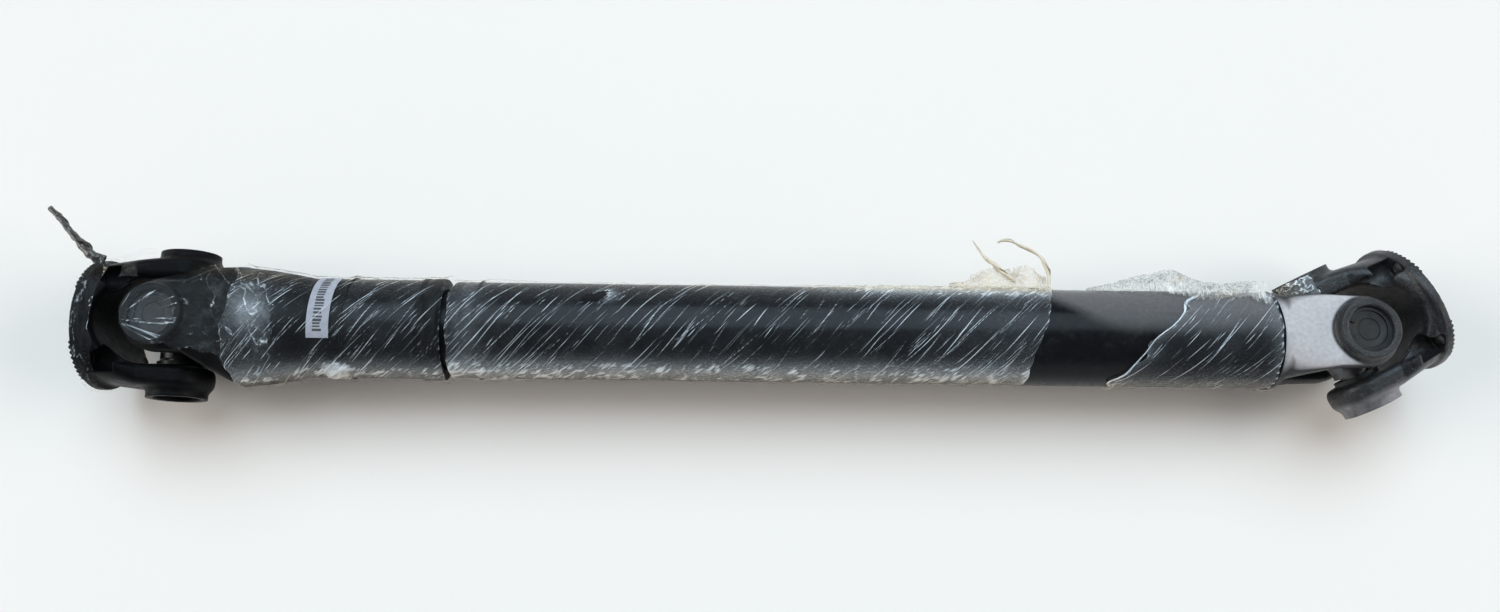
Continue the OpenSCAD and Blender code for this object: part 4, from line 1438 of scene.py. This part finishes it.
class SHAFT_OT_film_on_dust_tube(bpy.types.Operator):
    """Wraps film round the hub, the dust tube and the collar"""

    bl_idname = "shaft.film_on_dust_tube"
    bl_label = "Film on the dust tube"

    def execute(self, context):
        x0, x1 = 0.1705, COLLAR_HIGH.x + 0.0055
        label_low, label_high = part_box("paper_label")

        def radius(x):
            return np.interp(
                x,
                [
                    0.165, 0.171, 0.176, 0.200, 0.225, 0.250, 0.2925, 0.2935, 0.2985, 0.300, 0.375, 0.3785,
                    0.402, 0.4075
                ],
                [
                    0.0735, 0.0712, 0.0698, 0.0672, 0.0636, 0.0592, 0.0586, 0.0601, 0.0601, 0.0586, 0.0584,
                    0.0597, 0.0600, 0.0609
                ],
            )

        def label(x, theta):
            return (x > label_low.x - 0.004) & (x < label_high.x + 0.002) & (theta > -0.42) & (theta < 1.3)

        def where(x, theta):
            return 0.1 if label(x, theta) else 0.9

        def haze_and_glare(x, theta):
            hub = np.clip((0.245 - x) / 0.06, 0, 1)
            # blue is a painted glare patch on the film over the hub, and the edge_glow term a painted
            # reflection of the floor along the lower edge.
            blue = np.exp(-(((x - 0.196) / 0.016) ** 2) - ((theta - 0.12) / 0.30) ** 2) * 0.16
            pale = np.exp(-(((x - 0.285) / 0.013) ** 4) - ((theta + 1.15) / 0.22) ** 4) * 1.2
            cloud_and_glare = (
                0.004 + 0.02 * hub + blue + pale + 0.26 * edge_glow(theta, -1.15, 0.24)
                + 0.03 * np.clip(lumps(x / 0.03, (theta + math.pi) / TURN * 10, 29, 4, 10), 0, 1)
            )
            return np.where(label(x, theta), 0.006, cloud_and_glare)

        sheet = wrapping(
            "film_dust_tube",
            "film",
            27,
            lambda t: x0 + 0.003 * np.sin(3 * t) + 0.0015 * np.sin(11 * t),
            lambda t: x1 + 0 * t,
            radius,
            3900,
            where,
            haze_and_glare,
            spread=(0.12, 0.7),
            pillow=0.0008,
            width=0.95,
        )
        film_piece(
            *sheet_for(
                sheet, "sliding_end", "film_on_dust_tube", "stretched", ["tube_over_splines"], x1 - x0
            )
        )
        return {"FINISHED"}


def flange_ear_swing(x, y):
    """Height in mm that the flange yoke's ear reaches over each point as the joint bends to its limit."""
    height = 0.0 * (x + y)
    for bend in np.radians(np.linspace(0, 27, 14)):
        along, out = x * math.cos(bend) - y * math.sin(bend), x * math.sin(bend) + y * math.cos(bend)
        ear = np.where(along > 0, np.sqrt(np.clip(42.5**2 - along**2, 0, None)), 42.5 - 0.6 * along)
        height = np.maximum(height, np.where((out > 45) & (out < 90) & (along < 42.5), ear, 0.0))
    return height


def slip_yoke_top(x, y):
    """Height in mm of what the film lies on: the slip yoke's upper ear, its boss and hub."""
    s = sizes()
    joint, root = JOINT_A.x / MM, JOINT_A.x / MM + 76
    away = np.hypot(x - joint, y)
    hub = np.interp(x, [150, 172, 200, 225, 250], [69.5, 69.5, 66.5, 62.5, 58.0])
    top = np.where((np.abs(y) < hub) & (x > 152), np.sqrt(np.clip(hub**2 - y**2, 0, None)), 0.0)
    ear_wide = np.interp(x, [joint, joint + 30, root], [40, 41, 69])
    ear_high = np.interp(x, [joint, joint + 30, root], [75, 75, 69])
    ear_cone = np.interp(x, [joint + 56, root], [87, 69])
    ear = np.minimum(ear_high, np.sqrt(np.clip(ear_cone**2 - y**2, 0, None)))
    ear = np.where((np.abs(y) < ear_wide) & (x > joint) & (x < root), ear, 0.0)
    top = np.maximum(top, np.maximum(ear, np.where(away < s["ear_radius"], 75.0, 0.0)))
    top = np.maximum(top, np.where(away < s["boss_radius"] + 0.6, s["ear_face"], 0.0))
    return np.maximum(top, flange_ear_swing(x - joint, y)) + 0.7


def pulled_taut(under, rounds=260):
    """A taut skin over those heights, which touches the high places and spans the hollows."""
    skin_at = under.copy()
    for _ in range(rounds):
        mean = (skin_at[2:, 1:-1] + skin_at[:-2, 1:-1] + skin_at[1:-1, 2:] + skin_at[1:-1, :-2]) / 4
        skin_at[1:-1, 1:-1] = np.maximum(under[1:-1, 1:-1], mean)
    return skin_at


class SHAFT_OT_film_on_ear(bpy.types.Operator):
    """Drapes film over the slip yoke's upper ear, tented down to the hub"""

    bl_idname = "shaft.film_on_ear"
    bl_label = "Film on the ear"

    def execute(self, context):
        s = sizes()
        step = 0.9
        x = np.arange(52.0, 236.0, step)[:, None]
        y = np.arange(-80.0, 80.0, step)[None]
        away = np.hypot(x - JOINT_A.x / MM, y)
        drape = pulled_taut(slip_yoke_top(x, y))
        edge = [
            (62.0, 4.0), (64.0, 14.0), (71.0, 25.0), (80.0, 32.0), (92.0, 37.0), (106.0, 45.0),
            (122.0, 54.0), (146.0, 61.0), (170.0, 62.0), (196.0, 58.0), (214.0, 44.0), (222.0, 12.0),
            (223.0, -18.0), (217.0, -50.0),
            (207.0, -64.0), (199.0, -55.0), (192.0, -63.0), (184.0, -56.0), (179.0, -66.0), (172.0, -54.0),
            (163.0, -43.0), (150.0, -42.0), (138.0, -38.0), (124.0, -40.0), (112.0, -34.5), (98.0, -35.5),
            (84.0, -32.0), (71.0, -24.0), (64.0, -12.0)
        ]
        noise = lumps(x / 9 + 0 * y, y / 9 + 40, 61, 4, gain=0.6)
        shape = outline(x + 0 * y, y + 0 * x, edge) + np.clip((away - 38) / 20, 0, 1) * 4.5 * noise
        disc = np.clip((s["boss_radius"] + 2 - away) / 4, 0, 1)
        rays = np.arctan2(y + 9, x - 58)
        fan = folds(rays * 9.0, away / 60 + 3, 66, 1) * disc
        cover = 1 - disc
        sharp = folds((x + 0.8 * y) / 21, (y - 0.8 * x) / 46 + 30, 63, 3)
        hair = folds((x + 0.8 * y) / 7, (y - 0.8 * x) / 30 + 30, 64, 3)
        loose = np.clip((x - 120) / 60, 0, 1) * cover
        fine = folds(rays * 19.0, away / 50 + 3, 67, 1) * disc
        lift = (
            0.3 * fan + cover * (0.8 * sharp + 0.4 * hair)
            + loose * (2.2 * sharp + 0.9 * hair + 1.6 * np.abs(noise))
        )
        # bright is a painted glare patch on the film over the hub.
        bright = np.exp(-(((x - 197) / 17) ** 2) - (((y - 7 + 0.5 * (x - 197)) / 20) ** 2))
        haze_and_glare = (
            0.018 * disc + cover * 0.006 + 0.13 * bright * (0.4 + 0.9 * np.clip(noise + 0.3, 0, 1))
            + 0.07 * loose * np.clip(noise, 0, 1)
        )
        rim = np.exp(-(((away - 33.5) / 1.0) ** 2)) * 0.3 * (0.5 + 0.5 * noise)
        crease = np.clip(
            0.6 * fan**4 + 0.4 * fine**5 + cover * (0.3 * sharp**6 + 0.12 * hair**6) + rim
            + loose * (0.22 * sharp**5 + 0.26 * hair**4),
            0,
            1,
        )
        torn = np.exp(-np.abs(shape) / 2.0) * 0.15 * cover
        points = np.stack([x + 0 * y, y + 0 * x, drape + lift], -1).reshape(-1, 3) * MM
        quads = grid_faces(x.size, y.size)
        quads = quads[(shape.ravel()[quads] < 0).all(1)]
        made = film_mesh(
            "film_ear", "film", points, quads, (crease + torn).ravel(), np.clip(haze_and_glare, 0, 1).ravel()
        )
        film_piece(*sheet_for(made, "sliding_end", "film_on_ear", "draped", ["yoke_sliding"], 0.165))
        return {"FINISHED"}


def film_rim_band():
    """Film bunched round the first flange's rim."""
    n, m = 420, 22
    a = np.linspace(0, TURN, n + 1)[:-1, None]
    t = np.linspace(0, 1, m)[None]
    turn = a / TURN
    far = 0.019 + 0.006 * lumps(0 * a + 2.0, turn * 14, 81, 4, 14) + 0.004 * np.abs(np.cos(a))
    x = -0.0004 + t * far
    band = folds(t * 3 + lumps(0 * a, turn * 10, 83, 2, 10), turn * 16, 82, 4)
    band = band.reshape(n, m)
    puff = lumps(t * 2 + 0 * a, turn * 18, 84, 3, 18)
    beyond = np.clip((x - 0.013) / 0.010, 0, 1)
    r = (
        0.0760 + 0.0016 * band + 0.0010 * (puff + 0.5) - 0.0045 * beyond**1.5
        + 0.002 * np.sin(math.pi * t) * np.abs(puff)
    )
    place = np.stack([x, r * np.sin(a), r * np.cos(a)], -1).reshape(-1, 3)
    quads = grid_faces(m, n, closed=True)
    quads = (quads % n) * m + quads // n
    crease = 0.5 * band**4 + 0.3 * np.exp(-np.abs(t - 1) / 0.05)
    haze_and_glare = 0.006 + 0.02 * np.clip(puff, 0, 1)
    made = film_mesh("film_flange", "film", place, quads, crease.ravel(), haze_and_glare.ravel())
    film_piece(*sheet_for(made, "flange_a", "film_on_flange_a", "gathered", ["yoke_flange_a"], 0.021))


class SHAFT_OT_film_on_flange(bpy.types.Operator):
    """Bunches film round the first flange's rim, with a strip along one ear and a twisted tail"""

    bl_idname = "shaft.film_on_flange"
    bl_label = "Film on the first flange"

    def execute(self, context):
        film_rim_band()
        net = [
            [(0.003, 0.0775, -0.012), (0.004, 0.0745, 0.020), (0.010, 0.066, 0.042)],
            [(0.018, 0.0790, -0.010), (0.019, 0.0790, 0.016), (0.024, 0.066, 0.044)],
            [(0.034, 0.0850, -0.008), (0.036, 0.0840, 0.018), (0.039, 0.070, 0.044)],
            [(0.050, 0.0885, -0.006), (0.054, 0.0880, 0.020), (0.056, 0.076, 0.044)],
            [(0.058, 0.0890, 0.000), (0.062, 0.0885, 0.020), (0.064, 0.078, 0.042)],
        ]
        made = crumpled(
            "film_strip", "film", net, (90, 50), 91, 0.0008, (6, 4), 0.03, (0.25, 0.2), shine=0.35
        )
        film_piece(*sheet_for(made, "flange_a", None, "stretched", ["yoke_flange_a"], 0.062))
        net = [
            [(0.036, 0.074, 0.0445), (0.052, 0.078, 0.0440), (0.063, 0.078, 0.0425)],
            [(0.045, 0.066, 0.0560), (0.055, 0.068, 0.0570), (0.064, 0.069, 0.0555)],
            [(0.052, 0.052, 0.0700), (0.060, 0.054, 0.0720), (0.069, 0.054, 0.0700)],
            [(0.0545, 0.040, 0.0800), (0.066, 0.040, 0.0835), (0.079, 0.040, 0.0830)],
        ]
        made = crumpled("film_web", "film", net, (50, 36), 93, 0.0006, (4, 3), 0.03, (0.15, 0.1), shine=0.4)
        film_piece(*sheet_for(made, "flange_a", None, "stretched", ["film_strip"], 0.05))
        path = [
            (0.010, 0.0690, 0.032), (0.000, 0.0745, 0.036), (-0.009, 0.0815, 0.037),
            (-0.020, 0.0925, 0.036), (-0.032, 0.105, 0.034), (-0.043, 0.116, 0.031),
            (-0.0530, 0.1255, 0.029), (-0.0615, 0.1325, 0.028)
        ]
        made = strand(
            "film_twisted_tail",
            "grimy_film",
            path,
            [0.0100, 0.0095, 0.0076, 0.0078, 0.0058, 0.0066, 0.0050, 0.0060, 0.0044, 0.0048],
            2.2,
            2.6,
            95,
            count=130,
        )
        film_piece(*sheet_for(made, "flange_a", "film_tail", "gathered", ["film_flange"], 0.096))
        return {"FINISHED"}


class SHAFT_OT_film_flap(bpy.types.Operator):
    """Stands a torn flap of film off the tube's side, with two twisted strands"""

    bl_idname = "shaft.film_flap"
    bl_label = "Torn flap"

    def execute(self, context):
        tops = [
            (0.985, 0.0585), (1.000, 0.063), (1.016, 0.072), (1.034, 0.082), (1.050, 0.079), (1.064, 0.082),
            (1.080, 0.085), (1.092, 0.074), (1.0995, 0.070)
        ]
        net = []
        low = math.asin(0.0500 / 0.0575)
        for k, (x, y) in enumerate(tops):
            dip = 0.004 * math.sin(2.3 * k)
            foot = (x + 0.002, 0.0575 * math.sin(low), 0.0575 * math.cos(low))
            side, middle = (x + 0.001, 0.0583, 0.014 + dip), (x, 0.5 * (0.0583 + y), 0.011 + dip)
            net.append([foot, side, middle, (x - 0.002, y, 0.012 - dip)])
        made = crumpled(
            "film_flap_sheet", "warm_film", net, (150, 50), 101, 0.0022, (11, 5), 0.10, (0.0, 0.35)
        )
        film_piece(*sheet_for(made, "tube", "film_flap", "gathered", ["film_tube"], 0.115))
        strands = (
            (
                [
                    (1.062, 0.0640, 0.013), (1.048, 0.073, 0.015), (1.036, 0.0845, 0.014),
                    (1.027, 0.0925, 0.013), (1.020, 0.102, 0.012), (1.0135, 0.1125, 0.012)
                ],
                [0.0030, 0.0042, 0.0036, 0.0024, 0.0016, 0.0008],
                1.6,
                111,
            ),
            (
                [
                    (1.0995, 0.0560, 0.016), (1.1010, 0.068, 0.014), (1.0985, 0.080, 0.013),
                    (1.0935, 0.0925, 0.012), (1.084, 0.1000, 0.012), (1.071, 0.1060, 0.013),
                    (1.0595, 0.1125, 0.012), (1.050, 0.1135, 0.012), (1.043, 0.1105, 0.012)
                ],
                [0.0034, 0.0030, 0.0036, 0.0024, 0.0034, 0.0022, 0.0030, 0.0024],
                1.5,
                113,
            ),
        )
        for k, (path, widths, twist, seed) in enumerate(strands):
            made = strand(
                f"film_flap_strand_{k + 1}", "warm_film", path, widths, 1.8, twist, seed, count=120
            )
            film_piece(*sheet_for(made, "tube", None, "gathered", ["film_flap_sheet"], 0.08))
        return {"FINISHED"}


def film_ear_patch():
    """A scrap of film left on the edge of the second flange yoke's ear."""
    n, m = 80, 60
    t = np.linspace(0, 1, n)[:, None]
    q = np.linspace(0, 1, m)[None]
    angle = math.radians(80) - t * math.radians(62)
    z = 0.0510 + 0.0335 * q + 0 * t
    sharp = folds(t * 7, q * 6, 131, 3)
    hair = folds(t * 20, q * 16, 132, 2)
    r = 0.0412 + 0.0022 * sharp + 0.0008 * hair + 0.0012 * lumps(t * 4, q * 4, 133, 2)
    shoulder = np.clip((q - 0.72) / 0.28, 0, 1)
    r = r - 0.004 * shoulder**2
    points = np.stack([r * np.cos(angle), r * np.sin(angle), z], -1)
    flat = (
        points.reshape(-1, 3) @ np.array(FRAME_FLANGE_B.to_3x3()).T
        + np.array(FRAME_FLANGE_B.translation)
    )
    edge = (
        np.minimum(np.minimum(t, 1 - t) * 2.2, np.minimum(q, 1 - q) * 2.0)
        - 0.22 * np.abs(lumps(t * 6, q * 6, 134, 4, gain=0.65))
    )
    quads = grid_faces(n, m)
    quads = quads[(edge.ravel()[quads] > 0).all(1)]
    made = film_mesh(
        "film_ear_patch",
        "film",
        flat,
        quads,
        np.clip(0.8 * sharp**4 + 0.4 * hair**4, 0, 1).ravel(),
        (0.12 + 0.25 * sharp).ravel(),
    )
    film_piece(*sheet_for(made, "flange_b", "film_on_yoke_b", "draped", ["yoke_flange_b"], 0.06))


class SHAFT_OT_film_bunch(bpy.types.Operator):
    """Gathers film along the tube's side at its far end, and leaves a patch on the flange yoke's ear"""

    bl_idname = "shaft.film_bunch"
    bl_label = "Gathered film"

    def execute(self, context):
        stations = [
            (1.150, 1.10, 0.0585), (1.172, 1.05, 0.0620), (1.196, 1.02, 0.0690), (1.218, 0.98, 0.0745),
            (1.240, 0.84, 0.0790), (1.256, 0.72, 0.0745), (1.274, 0.66, 0.0680), (1.300, 0.78, 0.0650),
            (1.324, 0.70, 0.0665), (1.346, 0.52, 0.0680),
        ]
        net = []
        for x, inner, reach in stations:
            row = []
            for share in (0.0, 0.30, 0.55, 0.8, 1.0):
                a = inner + (1.95 - inner) * share
                bulge = math.sin(math.pi * min(1.0, share * 0.62 / 0.5 * 0.8)) ** 0.8
                r = 0.0578 + (reach - 0.0578) * bulge
                row.append((x, r * math.sin(a), r * math.cos(a)))
            net.append(row)
        made = crumpled(
            "film_bunch_sheet", "cloudy_film", net, (260, 70), 121, 0.0017, (20, 7), 0.16, (0.16, 0.3),
            fine=0.5
        )
        film_piece(*sheet_for(made, "tube", "film_bunch", "gathered", ["film_tube_end"], 0.20))
        film_ear_patch()
        return {"FINISHED"}


class SHAFT_OT_stage(bpy.types.Operator):
    """Lays the floor and sets the soft lights, the surround and the camera"""

    bl_idname = "shaft.stage"
    bl_label = "Stage"

    def execute(self, context):
        scene, s = context.scene, context.scene.shaft_stage
        half = 14.0
        grid = np.linspace(-half, half, 15)
        points = [(x + 0.75, y, s.floor_height) for x in grid for y in grid]
        floor = solid("floor", points, grid_faces(15, 15)[:, ::-1].tolist())
        shader = Shader("pale_floor")
        colour = tuple(scene.finishes.floor)
        shader.set(
            Base_Color=shader.mix(shader.noise(3.0, 2.0), tuple(0.985 * c for c in colour), colour),
            Roughness=0.6,
        )
        shader.bump((shader.noise(300.0, 2.0), 0.03, 0.0002))
        floor.data.materials.append(shader.material)
        surround(s)
        soft_sun("light_overhead", (0.0, 0.50, 0.87), 50.0, s.overhead, (0.70, 0.88, 1.0))
        for name, x in (("light_left", -1.0), ("light_right", 1.0)):
            soft_sun(name, (x, 0.05, 0.53), 40.0, s.side, (1.0, 0.96, 0.90))
        eye = bpy.data.cameras.new("camera")
        eye.lens, eye.sensor_width, eye.clip_start = s.camera_lens, 36.0, 0.01
        camera = bpy.data.objects.new("camera", eye)
        camera.location, camera.rotation_euler = s.camera_at, s.camera_turn
        scene.collection.objects.link(camera)
        scene.camera = camera
        scene.view_settings.view_transform = "Standard"
        return {"FINISHED"}


def surround(stage):
    """A soft surround, pale at the horizon and dim overhead."""
    world = bpy.data.worlds.new("soft_surround")
    world.use_nodes = True
    tree = world.node_tree
    place = tree.nodes.new("ShaderNodeTexCoord")
    parts = tree.nodes.new("ShaderNodeSeparateXYZ")
    fade = tree.nodes.new("ShaderNodeMapRange")
    fade.interpolation_type = "SMOOTHSTEP"
    for socket, value in (
        ("From Min", 0.0), ("From Max", 0.5), ("To Min", stage.horizon), ("To Max", stage.zenith)
    ):
        fade.inputs[socket].default_value = value
    background = tree.nodes["Background"]
    tree.links.new(place.outputs["Generated"], parts.inputs[0])
    tree.links.new(parts.outputs["Z"], fade.inputs["Value"])
    tree.links.new(fade.outputs[0], background.inputs["Strength"])
    background.inputs["Color"].default_value = (*stage.sky, 1.0)
    bpy.context.scene.world = world


def soft_sun(name, towards, angle, strength, colour):
    """A broad, soft light from that direction."""
    lamp = bpy.data.lights.new(name, "SUN")
    lamp.angle, lamp.energy, lamp.color = math.radians(angle), strength, colour
    thing = bpy.data.objects.new(name, lamp)
    thing.location = Vector((0.75, 0.0, 0.0)) + 2.0 * Vector(towards)
    thing.rotation_euler = Vector(towards).to_track_quat("Z", "Y").to_euler()
    bpy.context.scene.collection.objects.link(thing)


STEPS = (
    SHAFT_OT_flange_yokes, SHAFT_OT_slip_yoke, SHAFT_OT_tube_fork, SHAFT_OT_tubes,
    SHAFT_OT_bearings, SHAFT_OT_label, SHAFT_OT_film_on_tube, SHAFT_OT_film_on_tube_end,
    SHAFT_OT_film_on_dust_tube, SHAFT_OT_film_on_ear, SHAFT_OT_film_on_flange,
    SHAFT_OT_film_flap, SHAFT_OT_film_bunch, SHAFT_OT_stage,
)


class VIEW3D_PT_shaft(bpy.types.Panel):
    """Lists the shaft's sizes and the steps that build it"""

    bl_label = "Propeller shaft"
    bl_idname = "VIEW3D_PT_shaft"
    bl_space_type = "VIEW_3D"
    bl_region_type = "UI"
    bl_category = "Shaft"

    def draw(self, context):
        for name, group in GROUPS.items():
            box = self.layout.box()
            box.label(text=group.__doc__)
            for key in group.__annotations__:
                box.prop(getattr(context.scene, name), key)
        for step in STEPS:
            self.layout.operator(step.bl_idname)


def register():
    """Makes the classes and their scene settings known to Blender."""
    for name, group in GROUPS.items():
        bpy.utils.register_class(group)
        setattr(bpy.types.Scene, name, bpy.props.PointerProperty(type=group))
    for kind in (*STEPS, VIEW3D_PT_shaft):
        bpy.utils.register_class(kind)


def unregister():
    """Takes them away again."""
    for kind in (VIEW3D_PT_shaft, *reversed(STEPS)):
        bpy.utils.unregister_class(kind)
    for name, group in GROUPS.items():
        delattr(bpy.types.Scene, name)
        bpy.utils.unregister_class(group)


def main():
    """Builds every piece in order."""
    register()
    for step in STEPS:
        getattr(bpy.ops.shaft, step.bl_idname.split(".")[1])()


if __name__ == "__main__":
    main()
